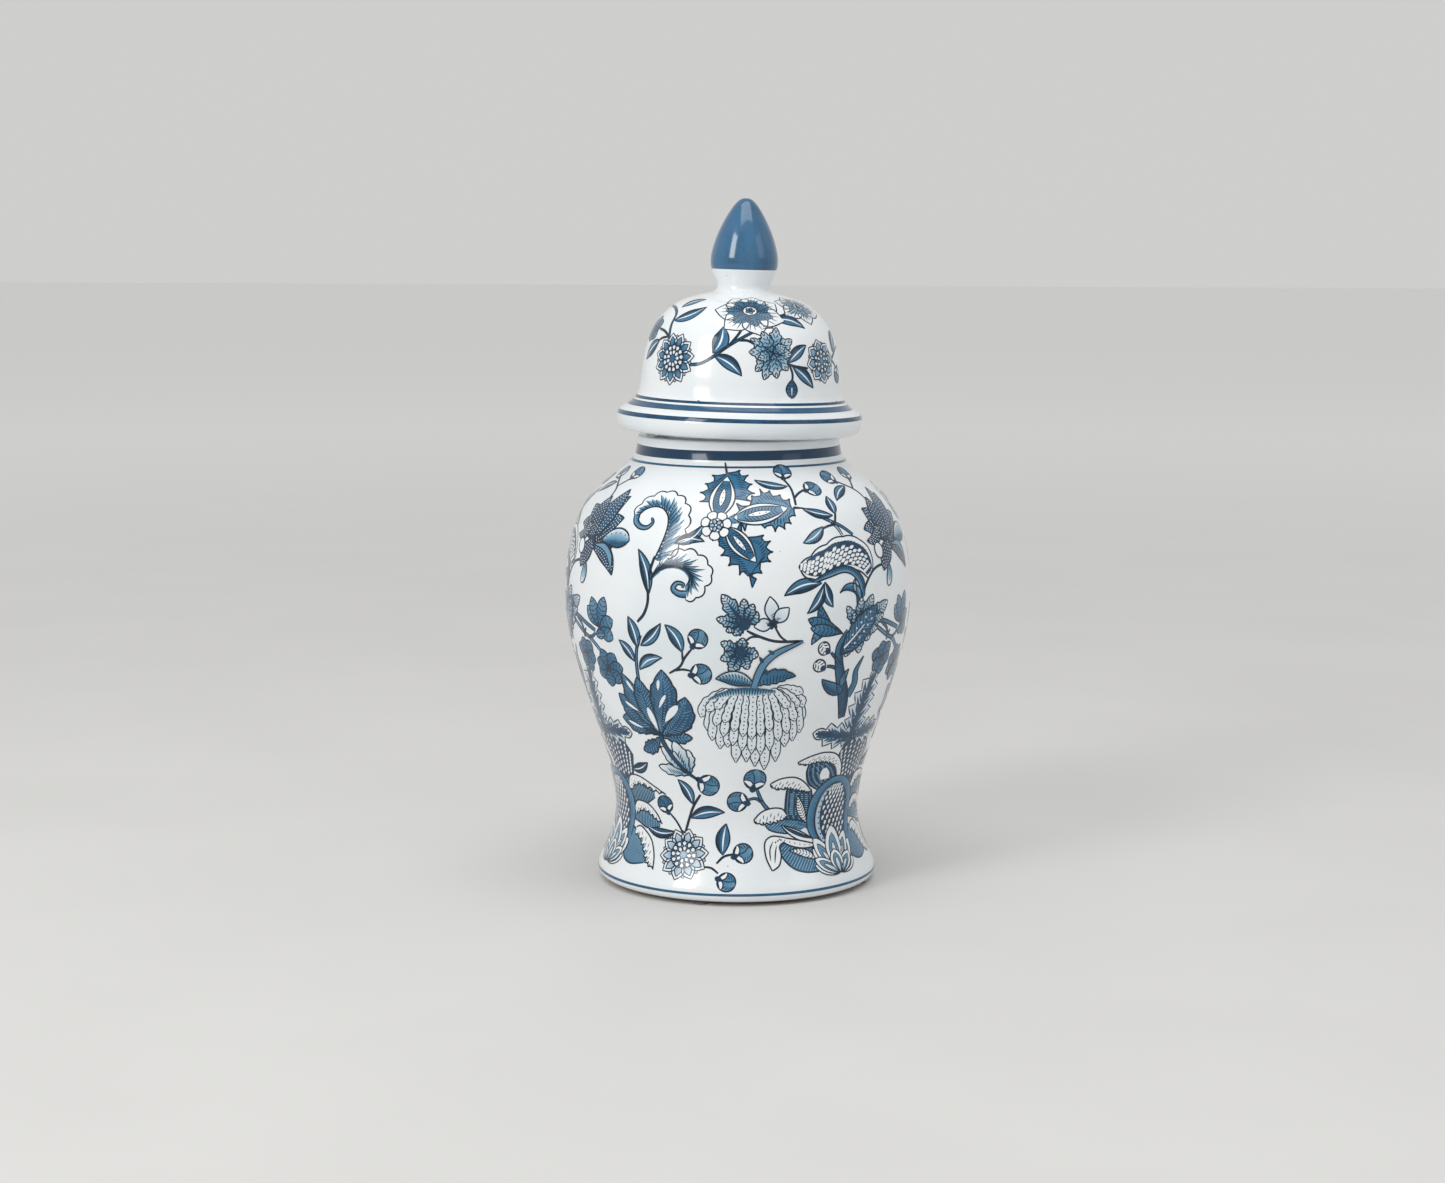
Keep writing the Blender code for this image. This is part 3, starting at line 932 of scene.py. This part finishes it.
def darkLeafFlower(pen):
    base = -31.4+83j
    petals = (
        (-49+90.6j, 11.4, -0.06), (-47.6+104.4j, 12, 0.02), (-43.4+116j, 11, 0.04), (-17.6+83.4j, 7, 0),
        (-18.8+106.4j, 14, -0.14), (-37+115j, 11, 0.02), (-26.4+120.6j, 14.6, -0.05), (-41.4+73.4j, 7, 0.1),
    )
    for level, (tip, width, bend) in enumerate(petals):
        shape = petal(pen, base, tip, width, bend, (0.98, 0.74), level, 0.95, 0.6, 0, 0.6, 5, 1.1)
        paleVeins(pen, shape, round(pen.gap(base, tip) / 1.9), 0.46, level + 0.5)
    for start, end, width in (
        (-31.8+86.4j, -34.6+99j, 3.2), (-28+91.4j, -21.8+101.6j, 3.8), (-38.6+86.6j, -46+89.6j, 1.6),
        (-39+96j, -45+100.6j, 1.7), (-39.4+107j, -42+112.6j, 1.8), (-29.6+99j, -26+107j, 1.8), (-28.8+109j,
            -28+115j, 1.7),
    ):
        pen.white(pen.blade(start, end, width, 0.02, 0.6, 0.6), 9)
    stem(pen, [-31.4+83j, -30+78j, -27+71j, -22+64j, -17+59.6j], (2.4, 1.8, 0.9), 0.85, 9)
    # the bud under it, with four ragged white petals
    throat = -20.4+62j
    for level, (tip, width) in enumerate(((-35+65.6j, 5.6), (-20.2+76.6j, 6), (-32+77j, 7), (-26+81j, 7.4))):
        shape = petal(pen, throat, tip, width, 0, (0.4, 0), 5 + level * 0.5, 0.85, 0.6, 0, 0.5, 4, 1)
        pen.hatch(shape, 5, (0.15, 0.6), (0.2, 0.6), 5.5 + level * 0.5, 0.15)
    stem(pen, [-26+69.6j, -22+64j, -17+59.6j], (1.8, 0.9), 0.85, 9)


def lobedFlower(pen, centre, tips, tone):
    for level, tip in enumerate(tips):
        petal(pen, centre, tip, 7.4, 0, (tone + 0.25, tone - 0.1), level, 0.75, 0.6, 2.4, 0.5)


def sideFlowers(pen):
    every(lobedFlower, pen, (-51.6+139j, [-58+149j, -55.4+154j, -48.4+155j, -44.6+144j, -45+134j, -51+133j],
        0.5), (-50+117.6j, [-56+113j, -56+121j, -52+127.6j, -45.6+126j, -42.6+119j, -44.6+110.6j,
        -50.6+107.6j], 0.6), (57.6+123j, [51+126j, 56+131.6j, 62+130j, 63+121j, 58.6+113.6j, 53+117j], 0.6))
    every(stem, pen, ([-52+126j, -57+131.6j, -62.4+135j, -68+139.6j, -72+143j], (2, 1.8, 1.6), 0.5),
        ([-54+135.6j, -57+133.2j, -61+133.6j], (1.3, 1.2), 0.6), ([58+134j, 60+137j], (1.2, 0.8)))


def trumpetAndVine(pen):
    pen.tint(pen.band([42.6+104j, 44.6+111j, 44+118j, 46.4+125.6j], [4.4, 4, 3, 0.6]), (0.8, 0.5, 0.7, 0.5),
        0)
    trunk = pen.tint(pen.band([38+140j, 35+132j, 35.4+124j, 37.4+115j, 40+106j, 41.4+99j, 42.4+92j],
        [3.6, 4.6, 4.6, 5.6, 6.4, 6, 4]), (0.85, 0.5, 0.95, 0.8), 2)
    pen.hatch(trunk, 26, (0.02, 0.95), (0.05, 0.35), 3, 0.02)
    pen.hatch(trunk, 12, (0.55, 0.95), (0.95, 0.65), 3, 0.02)
    side = petal(pen, 39.6+107.6j, 29.6+115.4j, 6.4, 0.1, (0.8, 0.5, 0.8, 0.5), 3, 0.8, 0.4, 0)
    pen.hatch(side, 8, (0.1, 0.8), (0.1, 0.5), 4)
    petal(pen, 38.4+110j, 40.4+119.6j, 3.8, 0.1, 0.55, 3, 0.8, 0.4, 0)
    for start, end in ((36+122j, 31.6+129.6j), (35+120.4j, 30.6+122.4j)):
        stem(pen, [start, (start + end) / 2 + 0.5j, end], (1.5, 1.2), 0.75, 2)
    for centre, turn in ((28.8+132j, 25), (27.8+123j, 60)):
        bud = pen.tint(pen.disc(centre, 3.6, 0.9, turn, 8), 0, 0, 0.55)
        pen.hatch(bud, 3, (0.15, 0.7), (0.1, 0.5), 1, 0.15, 0.45)
        pen.hatch(bud, 3, (0.3, 0.8), (0.95, 0.55), 1, 0.1, 0.45)
        pen.fill(pen.disc(pen.shift(centre, 2.4-1.6j), 1.7, rows=6), 0.95, 2)
    throat = 35.6+139j
    for level, (tip, width, bend, tone) in enumerate((
        (26.6+155j, 5.6, 0.2, 0.62), (24+134.4j, 5.4, -0.3, 0.5), (22.4+147.6j, 6.6, 0, 0.55),
        (23.4+143j, 6, 0, 0.5),
    )):
        petal(pen, throat, tip, width, bend, (0.85, 0.6, tone, tone), level, 0.8, 0.62, 2.4, 0.5)
    heart = 42+140j
    for level, (tip, width) in enumerate((
        (36.8+152.6j, 5), (39.6+149j, 5), (43+156.4j, 6), (48.6+157j, 7), (56.8+152.6j, 8), (54.6+146j, 6),
        (51.4+139.4j, 6), (48+134.6j, 6), (43.6+127.6j, 6), (37.4+126.6j, 6), (37+133j, 6),
    )):
        shape = petal(pen, heart, tip, width, 0, (0.9, 0.02), 4 + level * 0.6, 0.85, 0.6, 1.8, 0.5, 4, 1.2)
        pen.fill(pen.blade(heart, shape.at(0.75, 0.5), width * 0.4, 0, 0.4, 0.8, 6), 0.95, 4.4 + level * 0.6)
    body = petal(pen, 35.4+128j, 50.4+151.4j, 13, 0, (0.9, 0.75), 12, 0.8, 0.5, 0, 0.5, 6, 1.3)
    paleVeins(pen, body, 11, 0.4, 12.5, 0.12)
    for t in (0.3, 0.42, 0.54, 0.66, 0.78):
        for across in (0.3, 0.7):
            pen.fill(pen.disc(body.at(t + (0.05 if across < 0.5 else 0), across), 0.6, rows=5), 0.1, 13)
    pen.white(pen.band([36.6+131.4j, 44.6+142.4j], [1.1, 0.5]), 13.5)
    every(stem, pen, ([49+143.6j, 55+142.6j, 61+139.6j, 66+137j], (2, 1.8), 0.6, 3),
        ([54+142j, 57.6+138j, 58.4+132j], (1.4, 1), 0.6, 3))


def plume(pen):
    # toothed pale leaves with a dark heart each
    for level, (base, tip, width, teeth, bite, bend) in enumerate((
        (51.4+77j, 56.6+118j, 16, 6, 6, 0.05), (52+79.4j, 30+85j, 11, 4, 4.4, 0),
        (53+80j, 74+82j, 11, 4, 4.4, 0.02),
    )):
        blade = pen.tint(pen.blade(base, tip, width, bend, 0.45, 0.7, 12, teeth, bite), (0.2, 0.02),
            level * 3, taper=0.9)
        core = blade.part(0, 0.94, 0.36, 0.64, 20)
        pen.fill(core, 0.95, level * 3 + 1)
        count = round(pen.gap(base, tip) / 2.4)
        for i in range(count):
            t = 0.02 + 0.84 * i / count
            for near, far in ((0.42, 0.14), (0.58, 0.86)):
                pen.fill(pen.blade(blade.at(t, near), blade.at(t + 0.13, far), 1.5, 0.06, 0.4, 0.8, 5),
                    (0.95, 0.7), level * 3 + 1.5)


def whiteFeather(pen, upper, lower, lobes):
    # a pale curled edge whose under side is scalloped, with a dot and two short lines in each scallop
    under = pen.evenly(pen.through(lower), lobes)
    edge = pen.scallops(under, -0.3, 5)
    patch = pen.tint(pen.area(pen.through(upper), edge, 40), 0, 5, taper=0.9)
    for i in range(lobes):
        middle = (i + 0.5) / lobes
        if pen.gap(patch.at(middle, 0), patch.at(middle, 1)) > 2:
            spot = pen.disc(patch.at(middle, 0.86), 0.6, rows=5)
            pen.lay("ink", spot, 6)
            for t, start, end in ((i / lobes, 0.94, 0.5), (middle, 0.6, 0.3)):
                pen.stroke([patch.at(t, start), patch.at(t + 0.02, end)], 0.36, 6, 0.2)


def darkPatch(pen, left, right, level, tone=0.95, count=20):
    # a dark leaf with pale lines across it
    patch = pen.tint(pen.curved(left, right, 30), tone, level, 0.45, 0.5)
    for t in spread((0, 1), count):
        pen.fill(pen.band([patch.at(t, 0.06), patch.at(t + 0.02, 0.94)], [0.6, 0.4], 3), 0.34, level + 0.5)


def nestedPetal(pen, base, tip, width, level):
    # a lotus petal: white border, blue ring, white heart
    petal(pen, base, tip, width, 0, 0, level, 0.62, 0.55, 0, 0.4)
    for part, wide, tones in ((0.84, 0.6, (0.62, 0.4)), (0.66, 0.3, (0.3, 0))):
        level += 0.6
        petal(pen, base, mix(base, tip, part), width * wide, 0, tones, level, 0.62, 0.55, 0, 0.3)


def pomegranate(pen):
    # the big dark leaves behind it, each under a pale curled edge
    darkPatch(pen, [31+67j, 30.6+62j, 32.6+56j, 38+52j], [40+68.4j, 46+65j, 50+59j, 50+53j], 0)
    pen.white(pen.curved([39+63.4j, 38+60j, 39+57.4j], [41+64j, 43.4+61j, 43.6+57.6j]), 2)
    darkPatch(pen, [22+54.4j, 21.8+47j, 22.4+40j, 26+34j], [34.6+53j, 36+46j, 36+38j, 37+31j], 1)
    petal(pen, 33.6+35j, 27.8+50j, 4.4, 0.05, 0, 3, 0.7, 0.5, 1.6)
    every(darkPatch, pen, ([12+37j, 14.6+33j, 20+31j, 27+30j], [13+38j, 20+38j, 28+37j, 36+34j], 2, 0.7, 14),
        ([19+26j, 19.6+20j, 24+13j, 30+9.8j, 38+9.2j], [20+26.4j, 27+25j, 33+24j, 38+20j, 42+16j], 3, 0.75,
        20))
    every(petal, pen, (38+15j, 24+21.6j, 4, -0.08, 0.02, 5, 0.8, 0.5, 1.8),
        (39+24j, 20.4+35j, 4.4, 0.03, 0, 5, 0.8, 0.5, 0, 0.5),
        (36+26.6j, 21.6+34.2j, 1.6, 0.03, 0.95, 6, 0.8, 0.5, 0, 0.3))
    tail = petal(pen, 38+23j, 19+28.6j, 3.8, 0.05, 0, 6, 0.6, 0.5, 0, 0.5)
    pen.beads(tail, 6, 0.7, level=7)
    every(darkPatch, pen, ([58+56j, 64+57j, 72+53j, 80+50j], [58+44j, 66+42j, 74+43j, 80+47j], 0),
          ([60+42j, 68+40j, 76+38j, 82+34j], [60+34j, 68+32j, 74+30j, 82+32j], 1, 0.8),
          ([60+30j, 66+28j, 72+22j, 78+16j], [58+18j, 62+12j, 68+10j, 76+12j], 1, 0.75))
    # the scaly dome above
    dome = pen.tint(pen.curved([46.6+70j, 50+77j, 58+80j, 66+77j, 71+69j],
        [50+57j, 54+54.6j, 58+54j, 62+54.6j, 68+57j], 30), 1, 3)
    scales(pen, dome, 8, 8, 2.1, 4)
    every(whiteFeather, pen, ([25.6+69j, 31+71.6j, 38+73j, 45+71j, 50+65j, 51.8+57j], [25.6+69j, 30+67.4j,
        35+68.4j, 41+67.4j, 46.4+64j, 49.6+57j], 11),
        ([14.4+58j, 19+60.4j, 25+60.6j, 30+57.6j, 34.4+52.4j],
        [14.4+58j, 17+55j, 22+55.4j, 27+53.8j, 33.6+52j], 7),
        ([7.6+38.6j, 11+42.6j, 16+44.4j, 20.6+43.6j, 23+40.4j],
        [7.6+38.6j, 10+36.6j, 14.6+37j, 19+37.4j, 22.6+39.6j], 5))
    hand = pen.tint(pen.curved([22+28.6j, 16+29.6j, 12.6+26.6j, 12.8+19j, 15+12j],
        [22+26.4j, 19.4+24.4j, 19.8+19.6j, 18.4+14.6j, 15.2+12j], 24), 0, 7, taper=0.9)
    for across in (0.33, 0.66):
        pen.stroke([hand.at(t, across) for t in (0.3, 0.5, 0.75)], 0.45, 8)
    pen.beads(hand, 3, 0.9, 0.5, (0.05, 0.3), 8)
    every(whiteFeather, pen, ([86.4+49.6j, 80+53.6j, 72+57.4j, 65+56.6j, 62+50j], [86.4+49.6j, 81+49.6j,
        73+52.4j, 67+50.6j, 64+46j], 7),
        ([83+33.4j, 80+38.6j, 75+43j, 68+43.6j, 65+40j], [83+33.4j, 79+34.6j, 74+38j, 70+38j, 66+35j], 7),
        ([82+9.6j, 80.6+17j, 77+25j, 70+30j, 66+29j], [82+9.6j, 77+11.6j, 73+18.6j, 69+23.6j, 66+25j], 7))
    leaf(pen, 68+61j, 79+66.4j, 5, -0.1, 0.9, 5)
    # the fruit itself: a blue rim around rows of seeds
    pen.tint(pen.curved([38.6+23j, 34.4+31j, 33.8+40j, 36+49j, 42+55.6j, 50+58j, 58+55j, 63.6+48j, 65+39j,
        62.6+24j], [42+23j, 38.6+30j, 38+39j, 40+47j, 44+52.4j, 50+54.4j, 55+52j, 59.4+46j, 60.6+38j,
        58.6+24j], 48), (0.5, 0.62, 0.5, 0.62), 7, 0.45)
    seeds = pen.curved([42.6+23j, 39+30j, 38.4+39j, 40.6+47j, 45+52.4j, 49.6+54j],
        [58+23j, 60.2+30j, 60.2+38j, 58.6+46j, 54.6+52j, 50.4+54j], 30)
    pen.fill(seeds, 1, 8)
    lining = seeds.part(0.02, 0.9, 0.02, 0.13, 30)
    pen.fill(lining, 0.18, 9)
    pen.beads(lining, 11, 1, 0.7, (0.02, 0.98), 9.5)
    scales(pen, seeds, 12, 6, 2.4, 9, 0.55, (0.05, 0.9), (0.16, 0.99))
    lotus = 48.6+6.6j
    for level, (tip, width) in enumerate((
        (35.4+12.4j, 6.4), (60.6+12.4j, 6.4), (35.8+21j, 8), (61.4+22j, 9), (37+26.4j, 8.6), (58.6+27j, 8.6),
        (48.8+31.4j, 12), (36+15.6j, 7), (58.6+16j, 7), (48.4+19j, 9.4),
    )):
        nestedPetal(pen, lotus, tip, width, 10 + level * 1.3)


def lowerSprigs(pen):
    every(rosebud, pen, (-12.6+57j, 5.6, -120), (-34.6+44.4j, 4.6, 20, 0.7), (7.4+60.6j, 5.6, -10),
        (0+48.4j, 5.2, 80))
    every(stem, pen, ([-24.6+30j, -22.4+38j, -20+45j, -16.4+51.6j], (0.9, 0.7)),
        ([-25.4+30j, -29+36j, -33+40.6j], (0.7, 0.6)),
        ([20+37.4j, 15+42.4j, 11+48j, 8.4+55j], (2.2, 1.6, 1.2), 0.55),
        ([11.4+47.4j, 8+50j, 4.6+49.4j], (1.2, 1)))
    every(leaf, pen, (-20.4+46j, -26.6+59j, 5.4, -0.1), (-21.6+38.4j, -5.6+42.4j, 6, 0.1),
        (-29+30.6j, -47+31.6j, 4.6, 0.12, 0.85))
    dahlia(pen, -24.4+19.4j, 12.6, 0.22, 10)
    every(stem, pen, ([-14.4+14j, -11+13.6j, -8+11j], (0.7, 0.6)), ([-9+16j, -6+19.6j, -2+21j], (0.8, 0.6)))
    leaf(pen, -6.4+20.4j, -5+36.6j, 6.8, 0.05)
    every(rosebud, pen, (2.6+21.4j, 5, -70, 0.5), (-4.4+6.6j, 4.8, -110, 0.55))


def jarRepeat(pen):
    for draw in (starFlower, ferns, upperBranch, peony, scalyPod, middleFlowers, artichoke, darkLeafFlower,
            sideFlowers, trumpetAndVine, plume, pomegranate, lowerSprigs):
        draw(pen)


def pointedBlossom(pen, centre, count, reach, turn, tone):
    # broad white pointed petals, dark and feathered towards the heart
    for i in range(count):
        a = math.radians(turn + i * 360 / count)
        out = complex(math.cos(a) * 1.15, math.sin(a))
        every(petal, pen, (centre, pen.shift(centre, out * reach), reach * 0.86, 0, 0.02, 0.3 * i, 1.15, 0.54,
            0, 0.45), (centre, pen.shift(centre, out * reach * 0.68), reach * 0.52, 0,
            (tone + 0.2, tone - 0.15), 3, 0.95, 0.5, 1.3, 0.2))
        for swing in (-0.28, -0.1, 0.1, 0.28):
            way = out * complex(math.cos(swing), math.sin(swing)) * reach
            pen.stroke([pen.shift(centre, way * 0.4), pen.shift(centre, way * 0.8)], 0.3, 4, 0.2)
    pen.tint(pen.disc(centre, reach * 0.2, 1.15), 0, 5, 0.4)
    petalRing(pen, centre, 5, 0, reach * 0.16, reach * 0.1, 0.5, 0, 0.6, 0.5, 6)


def lidRepeat(pen):
    every(dahlia, pen, (-44+32.6j, 12.6, 0.55), (53.4+33j, 10.6, 0.35, 8))
    every(stem, pen, ([-31+30j, -24+31j, -17+34.6j, -8+40.6j, 2+46j, 12+50.4j, 20+51j], (1.2, 1), 0.7),
        ([-8+40.6j, -4+45j, -1+49j], (0.9, 0.8)), ([-3+43.4j, 3+43.4j, 7+41.6j], (0.9, 0.7)))
    every(leaf, pen, (-17.4+36.4j, -13+50.6j, 8, -0.12), (-16.4+35j, 0+25.4j, 6, 0.1))
    pointedBlossom(pen, 5+61.4j, 7, 15.6, 25.7, 0.6)
    leaf(pen, 21+55j, 44.6+50.4j, 6.4, 0.16)
    stem(pen, [21+52.4j, 27+57j, 33+59.6j, 40+61j], (0.9, 0.7))
    for i, (tip, width) in enumerate((
        (4.6+44.6j, 5.4), (31.4+44.4j, 6), (22+51j, 6), (12+48.6j, 6), (3.8+37.6j, 6), (30+36.6j,
            6), (7.6+28j, 6),
        (12.4+23.8j, 6), (27+28.6j, 6), (20+24.6j, 6), (26+41j, 5), (9+34j, 5),
    )):
        shape = petal(pen, 18+37.4j, tip, width, 0, (0.62, 0.06), i * 0.6, 1.05, 0.56, 0, 0.45, 4, 1.5)
        pen.hatch(shape, 4, (0.1, 0.85), (0.5, 0.2), i * 0.6 + 0.5, 0.18, 0.4)
        pen.hatch(shape, 4, (0.1, 0.85), (0.5, 0.8), i * 0.6 + 0.5, 0.18, 0.4)
    every(stem, pen, ([22+31.4j, 27+31.6j, 33+30.4j, 41+29.6j], (0.9, 0.7)),
        ([28+31.4j, 29.8+27j, 29.4+22j], (0.8, 0.7)))
    every(leaf, pen, (27.4+32.4j, 41.4+41.4j, 5.4, 0.05), (30+30.6j, 44.4+19.6j, 5.8, 0.06))
    bud = petal(pen, 29.4+24j, 29+14.6j, 6.4, 0, (0.85, 0.6, 0.85, 0.7), 1, 0.75, 0.55, 1.6, 0.5)
    pen.white(pen.band([bud.at(0.45, 0.5), bud.at(0.85, 0.5)], [0.7, 0.2]), 2)
    every(stem, pen, ([64.4+33j, 70+36.4j, 78+39.4j, 86+40j], (0.9, 0.7)),
        ([65+33.4j, 68.4+31.6j, 71+29j], (0.8, 0.7)))
    rosebud(pen, 72+25.6j, 4.2, 160, 0.6)
    leaf(pen, 69+37.4j, 82+48.6j, 6, 0.1)
    pointedBlossom(pen, 53+65j, 6, 12.4, 30, 0.3)
    every(stem, pen, ([-50.4+42.4j, -54+50j, -56.6+57j, -66+61j, -78+62.4j, -88+62.6j], (1.2, 0.9), 0.7),
        ([-52+43.6j, -58+42.6j, -62+40.6j], (0.9, 0.7)), ([-52+44j, -58+46.4j, -66+47.6j], (0.9, 0.7)))
    every(leaf, pen, (-54+53j, -31+63.4j, 6.4, -0.08), (-60+41.4j, -74+30.6j, 6.6, -0.06))
    for i, tip in enumerate((-88+50j, -84+42j, -76+40j, -67+43j, -66+51j, -76+55j)):
        petal(pen, -77+47j, tip, 7, 0, (0.85, 0.4), i * 0.7, 0.85, 0.58, 1.7, 0.5)
    leaf(pen, -58+62j, -40+70.6j, 5.8, 0.12)
    for tick in (-24+12.4j, 65+12.4j):
        pen.stroke([tick, tick + 1.4 - 0.6j], 0.8, 1)


def filmPiece(name, points, faces, tones, material, place, turn, body):
    # a thin open skin of one colour, as a print is
    mesh = bpy.data.meshes.new(name)
    mesh.from_pydata([tuple(point) for point in points], [], faces)
    tone = mesh.attributes.new("tone", "FLOAT", "POINT")
    tone.data.foreach_set("value", tones)
    piece = bpy.data.objects.new(name, mesh)
    bpy.context.scene.collection.objects.link(piece)
    mesh.transform(place @ Matrix.Rotation(turn, 4, "Z"))
    mesh.materials.append(material)
    mesh.shade_smooth()
    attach(piece, body)


def printPot(name, wall, drawRepeat, repeats, place, body):
    pen = Pen(wall)
    drawRepeat(pen)
    for kind, material in (("wash", blueWash), ("ink", navyInk)):
        points, faces, tones = pen.films[kind]
        print(name, kind, len(faces), "faces")
        for i in range(repeats):
            title = f"{name}{kind.capitalize()}{i + 1}"
            filmPiece(title, points, faces, tones, material, place, math.tau * i / repeats, body)


bands = {"steps": 288, "columns": 5, "wobble": 0.09}


def bandsOn(pen, rows):
    # hand-drawn bands all round a pot: from, to and tone
    turns = [360 * i / bands["steps"] for i in range(bands["steps"] + 1)]
    wobble = bands["wobble"]
    for low, high, tone in rows:
        left = [complex(turn, high + wobble * math.sin(math.radians(turn * 3))) for turn in turns]
        right = [complex(turn, low + wobble * math.sin(math.radians(turn * 2 + 40))) for turn in turns]
        pen.lay("wash", Patch(left, right), 0, tone, bands["columns"])


jarWallChart = Wall(jarWall[:-1] + jarShape["footRoll"][:3], 6.2)
lidWallChart = Wall(lidWall[:-1] + curveThrough(lidShape["flange"], 0.8)[:6], 245.6)
printPot("jarPrint", jarWallChart, jarRepeat, 3, Matrix(), "jar_body")
printPot("lidPrint", lidWallChart, lidRepeat, 2, lidLean, "lid_body")

jarRings = Pen(jarWallChart)
upAt = jarWallChart.upAt
bandsOn(jarRings, [(upAt(224.1), upAt(229), 1), (upAt(220.5), upAt(221.5), 0.78), (-0.7, 0.7, 0.72)])
filmPiece("jarRings", *jarRings.films["wash"], blueWash, Matrix(), 0, "jar_body")
lidRings = Pen(lidWallChart)
bandsOn(lidRings, [(10.3, 11.9, 0.9), (6.1, 9.1, 0.78), (5.2, 6.1, 0.95), (-2.2, 0.1, 0.88)])
filmPiece("lidRings", *lidRings.films["wash"], blueWash, lidLean, 0, "lid_body")
print("print laid")


for name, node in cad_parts.items():
    if "pad" in name or "bumper" in name:
        node.data.materials.clear()
        node.data.materials.append(clearSilicone)


studio = {
    "wall": (0.94, 0.94, 0.93, 1),
    "wallStrength": 0.66,
    "floorSize": 30,
    "near": 0.5,  # painted light: the floor colour turns paler between these distances, standing in for light where the lamps no longer reach
    "far": 3.5,
    "aim": (0, 0, 0.2),
    "lamps": {  # place, size, power, colour
        "windowLeft": ((-1.5, -1.5, 1.3), (0.7, 1.4), 20, (1, 0.99, 0.97)),
        "windowRight": ((1.9, -1.0, 1.2), (0.9, 1.2), 2, (0.96, 0.98, 1)),
        "ceiling": ((0.1, -0.5, 2.2), (1.8, 1.4), 16, (1, 1, 1)),
    },
}
view = {"lens": 67.3, "place": (-0.008, -1.4022, 0.3393), "down": 7.65, "roll": 0.25}


def softBox(name, place, size, power, colour):
    light = bpy.data.lights.new(name, "AREA")
    light.shape = "RECTANGLE"
    light.size, light.size_y = size
    light.energy = power
    light.color = colour
    lamp = bpy.data.objects.new(name, light)
    lamp.location = place
    lamp.rotation_euler = (Vector(studio["aim"]) - Vector(place)).to_track_quat("-Z", "Y").to_euler()
    bpy.context.scene.collection.objects.link(lamp)


def paintFloor(wire):
    cloud = wire.speckle(6, 3)
    near = cloud.above(0.3, 0.7).blend((0.655, 0.65, 0.64, 1), (0.675, 0.67, 0.66, 1))
    place = wire.node("ShaderNodeTexCoord", out=3)
    distance = wire.node("ShaderNodeVectorMath", {"operation": "LENGTH"}, {0: place}, 1)
    # painted light: the floor colour turns paler far from the jar, in place of lamp light that does not reach
    # there
    colour = distance.above(studio["near"], studio["far"]).blend(near, (0.93, 0.93, 0.92, 1))
    return {"Base Color": colour, "Roughness": 0.55 + cloud * 0.1}


deselectAll()
bpy.ops.mesh.primitive_plane_add(size=studio["floorSize"], location=(0, 0, 0))
floor = bpy.context.object
floor.name = "floor"
floor.data.materials.append(finish("paleFloor", paintFloor))

world = bpy.data.worlds.new("studio")
bpy.context.scene.world = world
world.use_nodes = True
background = world.node_tree.nodes["Background"]
feed(background.inputs["Color"], studio["wall"])
feed(background.inputs["Strength"], studio["wallStrength"])
for name, lamp in studio["lamps"].items():
    softBox(name, *lamp)

cameraData = bpy.data.cameras.new("camera")
cameraData.lens = view["lens"]
camera = bpy.data.objects.new("camera", cameraData)
camera.location = view["place"]
tilt = Matrix.Rotation(math.radians(90 - view["down"]), 4, "X")
tilt @= Matrix.Rotation(math.radians(view["roll"]), 4, "Z")
camera.rotation_euler = tilt.to_euler()
bpy.context.scene.collection.objects.link(camera)
bpy.context.scene.camera = camera
bpy.context.scene.view_settings.view_transform = "Standard"

print("stage set")
